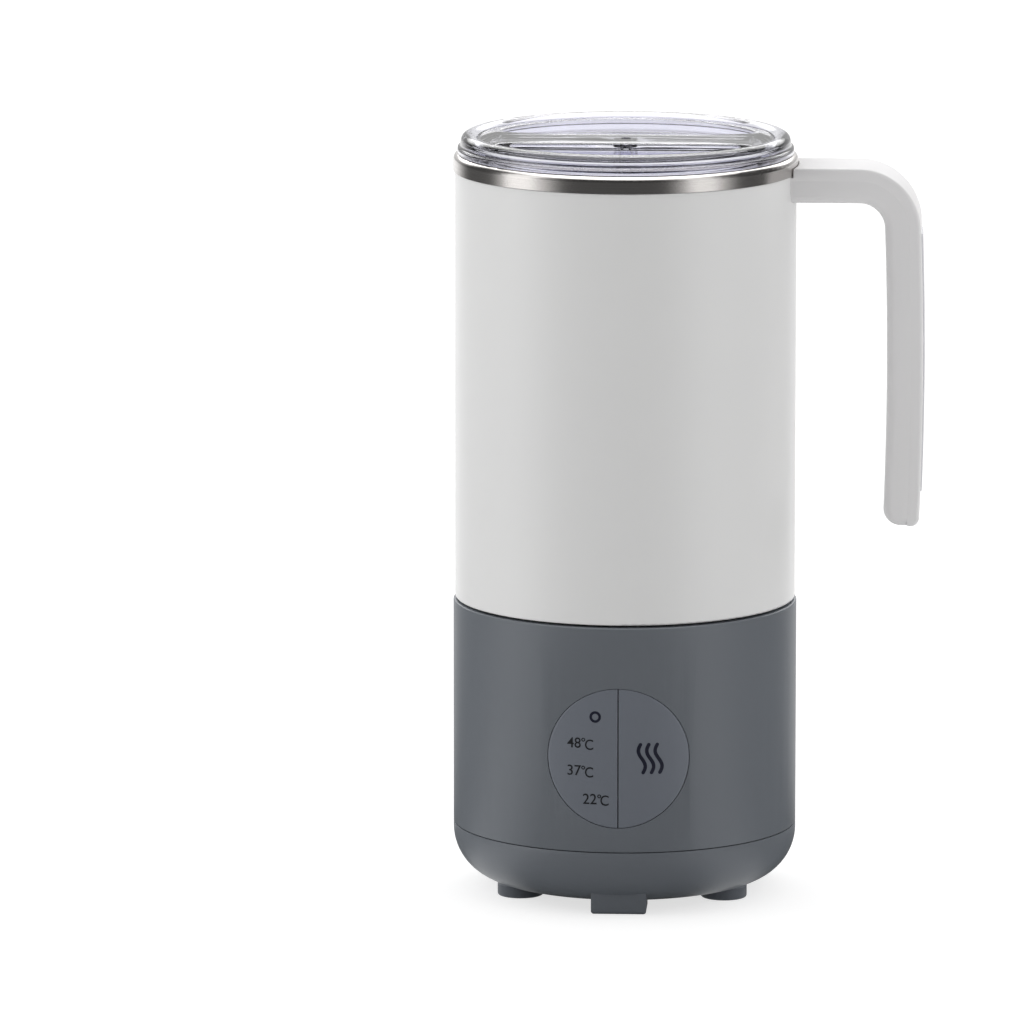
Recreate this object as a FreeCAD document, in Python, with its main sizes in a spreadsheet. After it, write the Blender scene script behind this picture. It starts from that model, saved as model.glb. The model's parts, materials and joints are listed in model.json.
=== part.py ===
import FreeCAD, Part
import math
import os
import Sketcher

# Baby formula maker: a round grey heating and mixing base, a white jug with a steel pot,
# a side handle and a clear push-in lid. Millimetres, +Z up, standing on z = 0.
# Every piece is drawn about the jug's axis and then moved along X, so that the origin
# lies under the middle of the whole outline, handle included.

doc = FreeCAD.newDocument("formula_maker")
sheet = doc.addObject("Spreadsheet::Sheet", "sizes")

size_rows = [
    # base, outside
    ("body_radius", 50.0, "outside of the base and of the steel rim"),
    ("foot_height", 2.7, "floor to the underside of the bottom cover"),
    ("cover_height", 16.6, "underside to the upper edge of the bottom cover"),
    ("cover_wall", 2.4, "bottom cover floor and wall"),
    ("cover_corner", 15.0, "outer corner of the bottom cover"),
    ("cover_inner_corner", 8.8, "inner corner of the bottom cover"),
    ("lip_height", 3.0, "locating lip above the cover's upper edge"),
    ("lip_wall", 1.8, "thickness of the locating lip"),
    ("hairline", 0.3, "parting line between cover and housing"),
    ("housing_height", 65.7, "lower edge to the rim of the housing"),
    ("housing_wall", 2.4, "housing wall"),
    ("rim_round", 0.6, "rounded rim edge of the housing"),
    ("tab_width", 16.0, "moulded standing tabs under the cover"),
    ("tab_inset", 5.8, "outline of the base to the outer face of a tab"),
    ("tab_length", 11.2, "tab along the radius"),
    ("tab_rise", 1.3, "tab above the floor of the cover, where the corner curves up"),
    ("tab_bevel", 1.1, "rounded edges along the bottom of a tab"),
    ("foot_inset", 15.8, "outline of the base to the centre of a rubber foot"),
    ("foot_radius", 6.7, "rubber foot"),
    ("foot_sink", 0.7, "depth of the seat of a rubber foot"),
    ("foot_round", 0.6, "rounded lower edge of a rubber foot"),
    ("fit_gap", 0.2, "clearance between parts that are pushed together"),
    ("shaft_gap", 0.05, "radial running clearance of a shaft or bush"),
    # base, screws and posts
    ("post_radius", 3.8, "deck posts that take the cover screws"),
    ("boss_radius", 5.0, "cover bosses round the screw holes"),
    ("boss_height", 4.0, "cover bosses above the cover's floor"),
    ("screw_radius", 1.5, "cover screw shank"),
    ("screw_head", 2.9, "cover screw head radius"),
    ("screw_head_height", 1.8, "cover screw head height"),
    ("screw_grip", 12.0, "length of a cover screw inside its post"),
    # deck and well
    ("well_depth", 6.0, "rim of the housing to the top of the deck"),
    ("deck_thickness", 2.2, "deck floor"),
    ("deck_seal_width", 1.0, "sealing ring round the deck"),
    ("ledge_width", 2.6, "ledge in the housing that carries the deck"),
    ("ledge_height", 2.0, "ledge thickness"),
    # heater
    ("heater_radius", 26.5, "heater plate outer radius"),
    ("heater_plate", 3.0, "heater plate thickness"),
    ("heater_skirt", 2.0, "heater plate skirt wall"),
    ("heater_depth", 6.6, "heater plate top to the lower edge of its skirt"),
    ("heater_seal_wall", 1.5, "silicone ring between heater plate and deck"),
    ("heater_seal_lip", 1.2, "overhang of the silicone ring on the deck"),
    ("heater_seal_lip_height", 0.7, "height of that overhang"),
    ("element_circle", 21.0, "axis to the middle of the heating tube"),
    ("element_width", 4.6, "width of the heating tube"),
    ("element_gap", 0.8, "heating tube to a heater pillar"),
    ("heater_post_circle", 22.0, "axis to a heater pillar"),
    ("heater_post_radius", 2.6, "heater pillar"),
    ("heater_screw_radius", 1.1, "heater screw shank"),
    ("heater_screw_head", 2.1, "heater screw head radius"),
    ("window_radius", 13.2, "cap over the drive magnets, outside"),
    ("window_wall", 1.0, "wall of that cap"),
    ("window_roof", 1.5, "roof of that cap"),
    ("window_seal_width", 1.0, "sealing ring round that cap"),
    ("window_seal_height", 2.0, "height of that sealing ring"),
    ("sensor_circle", 16.3, "axis to the temperature sensor"),
    ("sensor_radius", 1.6, "temperature sensor"),
    ("sensor_length", 11.0, "temperature sensor"),
    ("cutout_circle", 20.0, "axis to the thermal cutout"),
    ("cutout_radius", 6.0, "thermal cutout"),
    ("cutout_height", 3.6, "thermal cutout"),
    # motor
    ("plate_drop", 5.5, "deck underside down to the top of the motor plate"),
    ("plate_thickness", 1.2, "motor plate"),
    ("plate_gap", 0.9, "motor plate to the posts beside it"),
    ("plate_bore", 4.5, "motor plate, opening round the shaft"),
    ("ear_width", 9.0, "ears of the motor plate"),
    ("ear_reach", 36.0, "axis to the end of an ear"),
    ("ear_screw_circle", 31.6, "axis to a motor plate screw"),
    ("deck_boss_radius", 3.2, "deck bosses for the motor plate screws"),
    ("plate_screw_radius", 1.2, "motor plate screw shank"),
    ("plate_screw_head", 2.3, "motor plate screw head radius"),
    ("plate_screw_head_height", 1.4, "motor plate screw head height"),
    ("plate_screw_grip", 5.0, "length of a motor plate screw in its boss"),
    ("damper_thickness", 1.0, "rubber washer between motor and plate"),
    ("damper_bore", 6.0, "bore radius of the rubber washer"),
    ("motor_radius", 14.0, "motor can"),
    ("motor_length", 34.0, "motor can"),
    ("motor_wall", 1.0, "motor can wall"),
    ("motor_end", 2.0, "end of the motor can that holds the bearing"),
    ("motor_screw_circle", 9.5, "axis to a motor screw"),
    ("motor_screw_radius", 1.2, "motor screw shank"),
    ("motor_screw_head", 2.2, "motor screw head radius"),
    ("end_cap_thickness", 3.0, "motor end cap"),
    ("field_wall", 2.0, "field magnets in the motor can"),
    ("field_length", 24.0, "field magnets in the motor can"),
    ("field_gap_width", 6.0, "gap between the two field magnets"),
    ("air_gap", 0.6, "armature to field magnets"),
    ("armature_length", 20.0, "armature on the motor shaft"),
    ("slot_width", 3.0, "winding slots of the armature"),
    ("slot_root", 5.2, "axis to the root of a winding slot"),
    ("shaft_radius", 1.5, "motor shaft"),
    ("shaft_above", 9.0, "motor shaft above the top of the can"),
    ("shaft_below", 1.0, "motor shaft end above the inside of the end cap"),
    ("carrier_radius", 11.4, "drive magnet carrier"),
    ("carrier_height", 4.0, "drive magnet carrier"),
    ("carrier_hub", 4.0, "hub radius of the carrier"),
    ("carrier_hub_height", 3.0, "hub below the carrier"),
    ("carrier_gap", 0.9, "carrier top to the roof above it"),
    ("magnet_circle", 7.2, "axis to a magnet"),
    ("magnet_radius", 3.0, "magnet"),
    ("magnet_height", 3.0, "magnet"),
    # boards
    ("board_length", 46.0, "main board along X"),
    ("board_width", 40.0, "main board along Y"),
    ("board_thickness", 1.6, "both circuit boards"),
    ("board_lift", 6.0, "cover floor to the underside of the main board"),
    ("board_inset", 3.0, "board edge to a screw"),
    ("standoff_radius", 2.6, "pillars under the main board"),
    ("board_screw_radius", 1.0, "board screw shank"),
    ("board_screw_head", 2.0, "board screw head radius"),
    ("board_screw_head_height", 1.2, "board screw head height"),
    ("transformer_length", 18.0, "transformer along X"),
    ("transformer_width", 16.0, "transformer along Y"),
    ("transformer_height", 14.0, "transformer"),
    ("transformer_x", -16.0, "transformer, near corner"),
    ("transformer_y", -2.0, "transformer, near corner"),
    ("relay_length", 15.0, "relay along X"),
    ("relay_width", 10.0, "relay along Y"),
    ("relay_height", 12.0, "relay"),
    ("relay_x", 4.0, "relay, near corner"),
    ("relay_y", 5.0, "relay, near corner"),
    ("capacitor_radius", 4.0, "capacitors"),
    ("capacitor_height", 13.0, "capacitors"),
    ("capacitor_x", 6.0, "first capacitor"),
    ("capacitor_pitch", 9.5, "spacing of the capacitors"),
    ("capacitor_y", -7.5, "row of capacitors"),
    # control panel
    ("panel_height", 47.1, "centre of the round control panel above the floor"),
    ("panel_radius", 20.5, "round opening of the control panel"),
    ("panel_gap", 0.25, "gap between a button and the opening"),
    ("panel_split", 0.5, "gap between the two half-round buttons"),
    ("button_flange", 1.9, "rim behind the housing wall, beyond the opening"),
    ("button_flange_gap", 0.3, "rim of a button to the inside of the wall"),
    ("button_flange_thickness", 1.2, "rim of a button"),
    ("stem_radius", 2.0, "stem behind a button"),
    ("stem_offset", 9.0, "stem beside the middle of the panel"),
    ("stem_drop", 5.2, "inside of the wall to the end of the stem"),
    ("plunger_radius", 1.6, "switch plunger"),
    ("plunger_length", 2.2, "switch plunger"),
    ("plunger_gap", 0.06, "radial clearance of the plunger in its switch"),
    ("switch_size", 6.0, "switch body, square"),
    ("switch_height", 3.5, "switch body"),
    ("switch_bore_depth", 2.7, "bore of the switch body"),
    ("control_board_drop", 9.6, "inside of the wall to the front of the control board"),
    ("control_board_half_width", 17.0, "control board"),
    ("control_board_half_height", 14.0, "control board"),
    ("frame_thickness", 2.0, "frame behind the control board"),
    ("frame_half_width", 29.0, "frame behind the control board"),
    ("frame_half_height", 9.0, "frame behind the control board"),
    ("frame_window", 11.0, "half width of the window in the frame"),
    ("frame_window_half_height", 6.0, "half height of the window in the frame"),
    ("frame_screw_offset", 26.0, "frame screws beside the middle"),
    ("frame_screw_radius", 1.2, "frame screw shank"),
    ("frame_screw_head", 2.3, "frame screw head radius"),
    ("frame_screw_head_height", 1.3, "frame screw head height"),
    ("frame_boss_radius", 3.0, "bosses in the housing for the frame"),
    ("frame_pin_radius", 1.0, "pins that hold the control board"),
    ("frame_pin_inset", 2.5, "board edge to a pin"),
    ("frame_pin_proud", 0.8, "pin above the front of the board"),
    ("led_radius", 1.2, "indicator lamps"),
    ("led_height", 1.6, "indicator lamps"),
    ("led_inset", 2.4, "board edge to the row of lamps"),
    ("led_pitch", 6.1, "spacing of the indicator lamps"),
    # power inlet
    ("inlet_height", 33.0, "centre of the power inlet above the floor"),
    ("inlet_half_width", 10.5, "inlet body"),
    ("inlet_half_height", 6.5, "inlet body"),
    ("inlet_recess", 1.7, "outline of the base to the face of the inlet"),
    ("inlet_depth", 15.0, "inlet body"),
    ("inlet_flange", 3.0, "flange beyond the body of the inlet"),
    ("inlet_flange_gap", 0.75, "corners of that flange to the inside of the wall"),
    ("inlet_flange_thickness", 2.0, "flange of the inlet"),
    ("socket_half_width", 8.0, "socket cavity"),
    ("socket_half_height", 3.9, "socket cavity, also its end radius"),
    ("socket_depth", 11.0, "socket cavity"),
    ("pin_offset", 4.3, "inlet pins beside the middle"),
    ("pin_radius", 1.2, "inlet pins"),
    ("pin_length", 9.0, "inlet pins inside the cavity"),
    ("pin_tail", 5.0, "inlet pins behind the inlet body"),
    # jug
    ("seam_gap", 0.6, "dark gap between jug and base"),
    ("shell_step", 0.5, "outline of the base to the white jug shell"),
    ("shell_wall", 2.5, "white jug shell"),
    ("shell_height", 125.1, "white jug shell up to the steel rim"),
    ("shell_edge", 0.6, "rounded lower edge of the jug shell"),
    ("shell_flange", 3.0, "inward flange at the bottom of the shell"),
    ("shell_flange_lap", 0.2, "bore of that flange inside the bore of the pot"),
    ("band_height", 5.0, "steel rim band"),
    ("band_gap", 0.2, "gap below the steel rim band"),
    ("band_round", 1.8, "rounded outer edge of the steel rim"),
    ("pot_air_gap", 3.2, "inside of the jug shell to the steel pot"),
    ("pot_wall", 0.8, "steel sheet"),
    ("pot_corner", 12.0, "bottom corner of the pot, outside"),
    ("pot_mouth_round", 1.5, "rounded mouth of the pot"),
    ("pot_lift", 0.3, "heater plate to the underside of the pot"),
    ("heater_drop", 2.1, "rim of the base to the top of the heater plate"),
    ("gasket_thickness", 0.6, "gasket between shell and pot rim"),
    ("gasket_lap", 0.4, "gasket beyond the inside of the jug shell"),
    ("cap_gap", 0.7, "jug base ring to the well wall"),
    ("cap_lift", 0.3, "jug base ring above the deck"),
    ("cap_wall", 4.7, "jug base ring, outer wall"),
    ("cap_floor", 2.2, "jug base ring, floor"),
    ("cap_bore", 30.2, "jug base ring, opening for the heater"),
    ("cap_inner_wall", 2.0, "jug base ring, inner wall"),
    ("pot_seal_height", 0.8, "silicone ring under the pot"),
    ("pot_seal_width", 1.6, "silicone ring under the pot"),
    ("jug_screw_inset", 2.3, "edge of the jug base ring to a jug screw"),
    ("jug_screw_radius", 1.0, "jug screw shank"),
    ("jug_screw_head", 1.9, "jug screw head radius"),
    ("jug_screw_head_height", 1.4, "jug screw head height"),
    ("jug_screw_recess", 0.6, "jug screw head above the ring's underside"),
    # whisk
    ("spindle_radius", 2.0, "pin on the pot's floor"),
    ("spindle_length", 6.7, "pin on the pot's floor"),
    ("spindle_foot_radius", 5.0, "foot of the pin"),
    ("spindle_foot_height", 0.6, "foot of the pin"),
    ("seat_gap", 0.1, "lift-out parts above their seats"),
    ("sleeve_wall", 1.2, "bush on the pin"),
    ("sleeve_flange_height", 1.0, "lower flange of the bush"),
    ("sleeve_roof", 0.9, "roof of the bush"),
    ("sleeve_head_radius", 4.4, "upper flange of the bush"),
    ("whisk_cap_thickness", 1.2, "plate under the whisk magnets"),
    ("whisk_hub_radius", 11.4, "whisk hub"),
    ("whisk_hub_round", 3.0, "rounded top of the hub"),
    ("whisk_roof", 1.6, "whisk hub above the bush"),
    ("whisk_disc_radius", 20.0, "whisk disc"),
    ("whisk_disc_thickness", 1.4, "whisk disc"),
    ("fin_height", 6.5, "fins above the whisk disc"),
    ("fin_thickness", 1.6, "fins"),
    ("fin_overlap", 1.5, "how far a fin reaches into the hub"),
    # lid
    ("lid_inset", 1.2, "edge of the steel rim to the edge of the lid flange"),
    ("lid_flange", 1.8, "lid flange thickness"),
    ("lid_flange_round", 0.6, "lid flange edge"),
    ("crest_inset", 3.3, "edge of the lid flange to the middle of the raised ring"),
    ("crest_half_width", 2.4, "raised ring, also its rounding"),
    ("crest_height", 5.6, "steel rim to the top of the raised ring"),
    ("bar_drop", 1.5, "top of the raised ring down to the finger bar"),
    ("bar_half_width", 11.0, "finger bar"),
    ("lid_wall", 2.2, "lid plate and bar"),
    ("lid_floor_drop", 7.2, "steel rim down to the floor of the finger wells"),
    ("lid_floor", 2.0, "floor of the finger wells"),
    ("well_inset", 1.6, "outside of the plug to the side of the finger wells"),
    ("well_corner", 5.0, "finger wells, corners"),
    ("plug_gap", 0.8, "inside of the pot to the plug that goes into it"),
    ("plug_skirt", 3.5, "plug below the floor of the wells"),
    ("plug_wall", 2.6, "skirt wall"),
    ("lid_seal_depth", 1.2, "groove for the lid seal"),
    ("lid_seal_height", 2.0, "groove for the lid seal"),
    ("lid_seal_drop", 0.4, "floor underside down to the groove"),
    ("lid_seal_gap", 0.1, "lid seal to the pot at rest"),
    ("bar_hollow_inset", 3.6, "side of the finger wells to the end of the hollow under the bar"),
    ("vent_radius", 3.5, "steam vent stem"),
    ("vent_bore", 1.5, "steam vent"),
    # handle
    ("handle_stand", 36.5, "outline of the base to the outermost point of the handle"),
    ("handle_depth", 10.4, "upright part, front to back"),
    ("handle_half_width", 12.0, "handle width across, halved"),
    ("handle_top_drop", 2.9, "steel rim top down to the top of the arm"),
    ("arm_depth", 10.2, "arm, top to underside"),
    ("handle_end", 108.9, "lower end of the handle above the floor"),
    ("handle_outer_corner", 18.0, "outer corner"),
    ("handle_inner_corner", 7.5, "inner corner"),
    ("handle_bow", 0.8, "outward bow of the upright part"),
    ("handle_end_inner", 5.0, "end corner towards the jug"),
    ("handle_end_outer", 2.5, "end corner away from the jug"),
    ("handle_cover_depth", 3.5, "outer contour to the parting line"),
    ("handle_wall", 2.6, "hollow handle body, side wall"),
    ("handle_root", 6.5, "solid root for the screws"),
    ("handle_edge", 2.8, "rounded edges of the handle body"),
    ("handle_cover_edge", 1.1, "rounded edges of the handle cover"),
    ("handle_clearance", 0.3, "handle root to the steel rim"),
    ("strip_half_width", 7.0, "soft strip on the back of the handle"),
    ("strip_low", 118.5, "lower end of the strip above the floor"),
    ("strip_high", 194.0, "upper end of the strip above the floor"),
    ("strip_proud", 0.4, "strip above the handle cover"),
    ("strip_sink", 0.8, "strip below the surface of the cover"),
    ("handle_screw_offset", 6.5, "handle screws to each side"),
    ("handle_screw_radius", 1.3, "handle screw shank"),
    ("handle_screw_head", 2.4, "handle screw head radius"),
    ("handle_screw_head_height", 1.2, "handle screw head height"),
    ("handle_screw_grip", 5.5, "length of a handle screw in the handle"),
    ("bracket_thickness", 1.0, "steel plate inside the shell"),
    ("bracket_half_width", 11.0, "steel plate inside the shell"),
    ("bracket_half_height", 4.2, "steel plate inside the shell"),
]


class Size:
    # a number together with the sheet expression that gives it

    def __init__(self, value, text):
        self.value = value
        self.text = text

    def __float__(self):
        return float(self.value)

    def __add__(self, other):
        return joined(self, "+", other)

    def __radd__(self, other):
        return joined(other, "+", self)

    def __sub__(self, other):
        return joined(self, "-", other)

    def __rsub__(self, other):
        return joined(other, "-", self)

    def __mul__(self, other):
        return joined(self, "*", other)

    def __rmul__(self, other):
        return joined(other, "*", self)

    def __truediv__(self, other):
        return joined(self, "/", other)

    def __neg__(self):
        return joined(0, "-", self)


def words(amount):
    if isinstance(amount, Size):
        return amount.text
    return "(%r)" % amount


def joined(left, sign, right):
    a = float(left)
    b = float(right)
    value = {"+": a + b, "-": a - b, "*": a * b}[sign] if sign != "/" else a / b
    return Size(value, "(%s %s %s)" % (words(left), sign, words(right)))


def root(amount):
    return Size(math.sqrt(float(amount)), "sqrt(%s)" % words(amount))


def height_over(radius, offset):
    # how far a circle reaches at an offset from its middle
    return root(radius * radius - offset * offset)


def across(radius, degrees):
    # X of a point on a circle
    return radius * math.cos(math.radians(degrees))


def along(radius, degrees):
    # Y of a point on a circle
    return radius * math.sin(math.radians(degrees))


class Sizes:
    # every row of the sheet as an attribute

    def __init__(self, rows):
        for row, (name, value, note) in enumerate(rows, start=1):
            sheet.set("A%d" % row, note)
            sheet.set("B%d" % row, str(value))
            sheet.setAlias("B%d" % row, name)
            setattr(self, name, Size(value, "sizes." + name))


d = Sizes(size_rows)
doc.recompute()

# Levels, from the floor up.
cover_floor_top = d.foot_height + d.cover_wall
cover_top = d.foot_height + d.cover_height
housing_bottom = cover_top + d.hairline
housing_rim = housing_bottom + d.housing_height
well_wall = d.body_radius - d.housing_wall
deck_top = housing_rim - d.well_depth
deck_bottom = deck_top - d.deck_thickness
heater_top = housing_rim - d.heater_drop
heater_bottom = heater_top - d.heater_plate
plate_top = deck_bottom - d.plate_drop
plate_bottom = plate_top - d.plate_thickness
motor_top = plate_bottom - d.damper_thickness
motor_bottom = motor_top - d.motor_length
window_top = heater_top - d.pot_lift
shell_bottom = housing_rim + d.seam_gap
shoulder = shell_bottom + d.shell_height
band_bottom = shoulder + d.band_gap
band_top = band_bottom + d.band_height
pot_bottom = heater_top + d.pot_lift
pot_floor = pot_bottom + d.pot_wall
cap_bottom = deck_top + d.cap_lift
cap_radius = well_wall - d.cap_gap
board_bottom = cover_floor_top + d.board_lift
board_top = board_bottom + d.board_thickness

# Distances from the jug's axis, from the outline inwards.
shell_radius = d.body_radius - d.shell_step
shell_inner = shell_radius - d.shell_wall
pot_bore = shell_inner - d.pot_air_gap - d.pot_wall
plug_radius = pot_bore - d.plug_gap
well_radius = plug_radius - d.well_inset
lid_radius = d.body_radius - d.lid_inset
crest_circle = lid_radius - d.crest_inset
jug_screw_circle = cap_radius - d.jug_screw_inset
stem_end = well_wall - d.stem_drop
control_board_front = well_wall - d.control_board_drop
control_board_back = control_board_front - d.board_thickness
inlet_face = d.body_radius - d.inlet_recess
inlet_flange_front = height_over(well_wall, d.inlet_half_width + d.inlet_flange) - d.inlet_flange_gap
tab_reach = d.body_radius - d.tab_inset
foot_circle = d.body_radius - d.foot_inset
plate_radius = foot_circle - d.post_radius - d.plate_gap
handle_reach = d.body_radius + d.handle_stand
model_shift = (d.body_radius - handle_reach) / 2

pieces = []


def piece(kind, label):
    # a sub-part with its own label, moved from the jug's axis to the model's origin
    thing = doc.addObject(kind, label)
    thing.Label = label
    pieces.append(thing)
    return thing


def bind(thing, where, amount):
    if isinstance(amount, Size):
        thing.setExpression(where, amount.text)
    else:
        setattr(thing, where, amount)


def new_body(label):
    body = piece("PartDesign::Body", label)
    body.setExpression("Placement.Base.x", model_shift.text)
    return body


def origin_plane(body, role):
    return [f for f in body.Origin.OriginFeatures if f.Role == role][0]


def arc_geometry(start, end, radius):
    # the shorter arc between two points; a positive radius turns left, a negative one right
    dx = end[0] - start[0]
    dy = end[1] - start[1]
    chord = math.hypot(dx, dy)
    reach = math.sqrt(max(radius * radius - chord * chord / 4, 0.0))
    side = 1 if radius > 0 else -1
    centre_x = (start[0] + end[0]) / 2 - side * reach * dy / chord
    centre_y = (start[1] + end[1]) / 2 + side * reach * dx / chord
    first, last = (start, end) if radius > 0 else (end, start)
    a = math.atan2(first[1] - centre_y, first[0] - centre_x)
    b = math.atan2(last[1] - centre_y, last[0] - centre_x)
    if b < a:
        b += 2 * math.pi
    circle = Part.Circle(FreeCAD.Vector(centre_x, centre_y, 0), FreeCAD.Vector(0, 0, 1), abs(radius))
    return Part.ArcOfCircle(circle, a, b)


def fix(sketch, kind, geometry, vertex, amount):
    if vertex is None:
        index = sketch.addConstraint(Sketcher.Constraint(kind, geometry, float(amount)))
    else:
        index = sketch.addConstraint(Sketcher.Constraint(kind, -1, 1, geometry, vertex, float(amount)))
    if isinstance(amount, Size):
        sketch.setExpression("Constraints[%d]" % index, amount.text)


def sketch_outline(sketch, points):
    # points are (x, y), or (x, y, radius) where an arc of that radius leads to the point
    first = sketch.GeometryCount
    count = len(points)
    ends = []
    for i in range(count):
        here = points[i]
        after = points[(i + 1) % count]
        start = (float(here[0]), float(here[1]))
        end = (float(after[0]), float(after[1]))
        if len(after) == 3:
            sketch.addGeometry(arc_geometry(start, end, float(after[2])), False)
            ends.append((1, 2) if float(after[2]) > 0 else (2, 1))
        else:
            line = Part.LineSegment(FreeCAD.Vector(*start, 0), FreeCAD.Vector(*end, 0))
            sketch.addGeometry(line, False)
            ends.append((1, 2))
    for i in range(count):
        j = (i + 1) % count
        sketch.addConstraint(Sketcher.Constraint("Coincident", first + i, ends[i][1], first + j, ends[j][0]))
    for i in range(count):
        fix(sketch, "DistanceX", first + i, ends[i][0], points[i][0])
        fix(sketch, "DistanceY", first + i, ends[i][0], points[i][1])
        after = points[(i + 1) % count]
        if len(after) == 3:
            radius = after[2] if float(after[2]) > 0 else -after[2]
            fix(sketch, "Radius", first + i, None, radius)


def sketch_circle(sketch, x, y, radius):
    index = sketch.addGeometry(Part.Circle(FreeCAD.Vector(float(x), float(y), 0),
                                           FreeCAD.Vector(0, 0, 1), float(radius)), False)
    fix(sketch, "DistanceX", index, 3, x)
    fix(sketch, "DistanceY", index, 3, y)
    fix(sketch, "Radius", index, None, radius)


def new_sketch(body, plane, outlines=(), circles=(), level=0):
    sketch = body.newObject("Sketcher::SketchObject", body.Label + "_sketch")
    sketch.AttachmentSupport = [(origin_plane(body, plane), "")]
    sketch.MapMode = "FlatFace"
    if isinstance(level, Size):
        sketch.setExpression("AttachmentOffset.Base.z", level.text)
    for points in outlines:
        sketch_outline(sketch, points)
    for x, y, radius in circles:
        sketch_circle(sketch, x, y, radius)
    return sketch


def feature(body, kind, sketch):
    made = body.newObject("PartDesign::" + kind, body.Label + "_" + kind.lower())
    made.Profile = sketch
    return made


def turned(body, outline, kind="Revolution"):
    # a full turn about Z of an outline given as (radius, height)
    sketch = new_sketch(body, "XZ_Plane", [outline])
    made = feature(body, kind, sketch)
    made.ReferenceAxis = (sketch, ["V_Axis"])
    made.Angle = 360
    return made


def raised(body, low, high, outlines=(), circles=()):
    # a pad between two heights, or between two distances from the axis plane
    made = feature(body, "Pad", new_sketch(body, "XY_Plane", outlines, circles, low))
    bind(made, "Length", high - low)
    return made


def sunk(body, low, high, outlines=(), circles=()):
    # a pocket between two heights, cut upwards from the lower one
    made = feature(body, "Pocket", new_sketch(body, "XY_Plane", outlines, circles, low))
    bind(made, "Length", high - low)
    made.Reversed = True
    return made


def forward(body, near, far, outlines=(), circles=(), kind="Pad"):
    # towards the front: distances from the axis plane along -Y, outlines in (x, z)
    made = feature(body, kind, new_sketch(body, "XZ_Plane", outlines, circles, near))
    bind(made, "Length", far - near)
    made.Reversed = kind == "Pocket"
    return made


def backward(body, near, far, outlines=(), circles=(), kind="Pad"):
    # towards the back: distances from the axis plane along +Y, outlines in (x, z)
    return forward(body, -far, -near, outlines, circles, kind)


def sideways(body, half_width, outlines, kind="Pad"):
    # both sides of the XZ plane, outlines in (x, z)
    made = feature(body, kind, new_sketch(body, "XZ_Plane", outlines))
    bind(made, "Length", 2 * half_width)
    made.Midplane = True
    return made


def repeated(body, features, count):
    # copies about the Z axis
    made = body.newObject("PartDesign::PolarPattern", body.Label + "_pattern")
    made.Originals = features
    made.Axis = (origin_plane(body, "Z_Axis"), [""])
    made.Angle = 360
    made.Occurrences = count
    body.Tip = made
    return made


def rounded(body, radius, chosen):
    # fillet on the edges of the last feature that the test picks out
    doc.recompute()
    base = body.Tip
    names = ["Edge%d" % (i + 1) for i, edge in enumerate(base.Shape.Edges) if chosen(edge)]
    made = body.newObject("PartDesign::Fillet", body.Label + "_fillet")
    made.Base = (base, names)
    bind(made, "Radius", radius)
    return made


def rectangle(x1, y1, x2, y2):
    return [(x1, y1), (x2, y1), (x2, y2), (x1, y2)]


def ring(inner, outer, low, high):
    return [(inner, low), (outer, low), (outer, high), (inner, high)]


def block(label, x, y, z, length, width, height):
    made = piece("Part::Box", label)
    bind(made, "Length", length)
    bind(made, "Width", width)
    bind(made, "Height", height)
    made.setExpression("Placement.Base.x", (x + model_shift).text)
    made.setExpression("Placement.Base.y", y.text)
    made.setExpression("Placement.Base.z", z.text)
    return made


def screws(label, places, head_radius, shank_radius, head_low, head_high, tip, plane="up"):
    # screws along Z or along the front-back direction, each a head and a shank
    body = new_body(label)
    heads = [(x, y, head_radius) for x, y in places]
    shanks = [(x, y, shank_radius) for x, y in places]
    make = {"up": raised, "front": forward, "back": backward}[plane]
    make(body, head_low, head_high, circles=heads)
    if float(tip) > float(head_high):
        make(body, head_high, tip, circles=shanks)
    else:
        make(body, tip, head_low, circles=shanks)
    return body


def around(radius, first, count):
    # places on a circle, evenly spaced from a first angle
    return [(across(radius, first + i * 360 / count), along(radius, first + i * 360 / count))
            for i in range(count)]


def placed(radius, angles):
    return [(across(radius, angle), along(radius, angle)) for angle in angles]


tab_count = 3
tab_angle = 30
foot_angle = 90
fin_count = 6
slot_count = 3
lamp_count = 4
magnet_count = 4
magnet_angle = 45
cut_past = 1
foot_places = around(foot_circle, foot_angle, tab_count)
post_places = placed(foot_circle, (60, 120, 210, 330))
ear_places = around(d.ear_screw_circle, tab_angle, tab_count)
pillar_places = around(d.heater_post_circle, tab_angle, tab_count)
jug_screw_places = around(jug_screw_circle, foot_angle, tab_count)
motor_screw_places = around(d.motor_screw_circle, 0, 2)
magnet_places = around(d.magnet_circle, magnet_angle, magnet_count)


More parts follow.
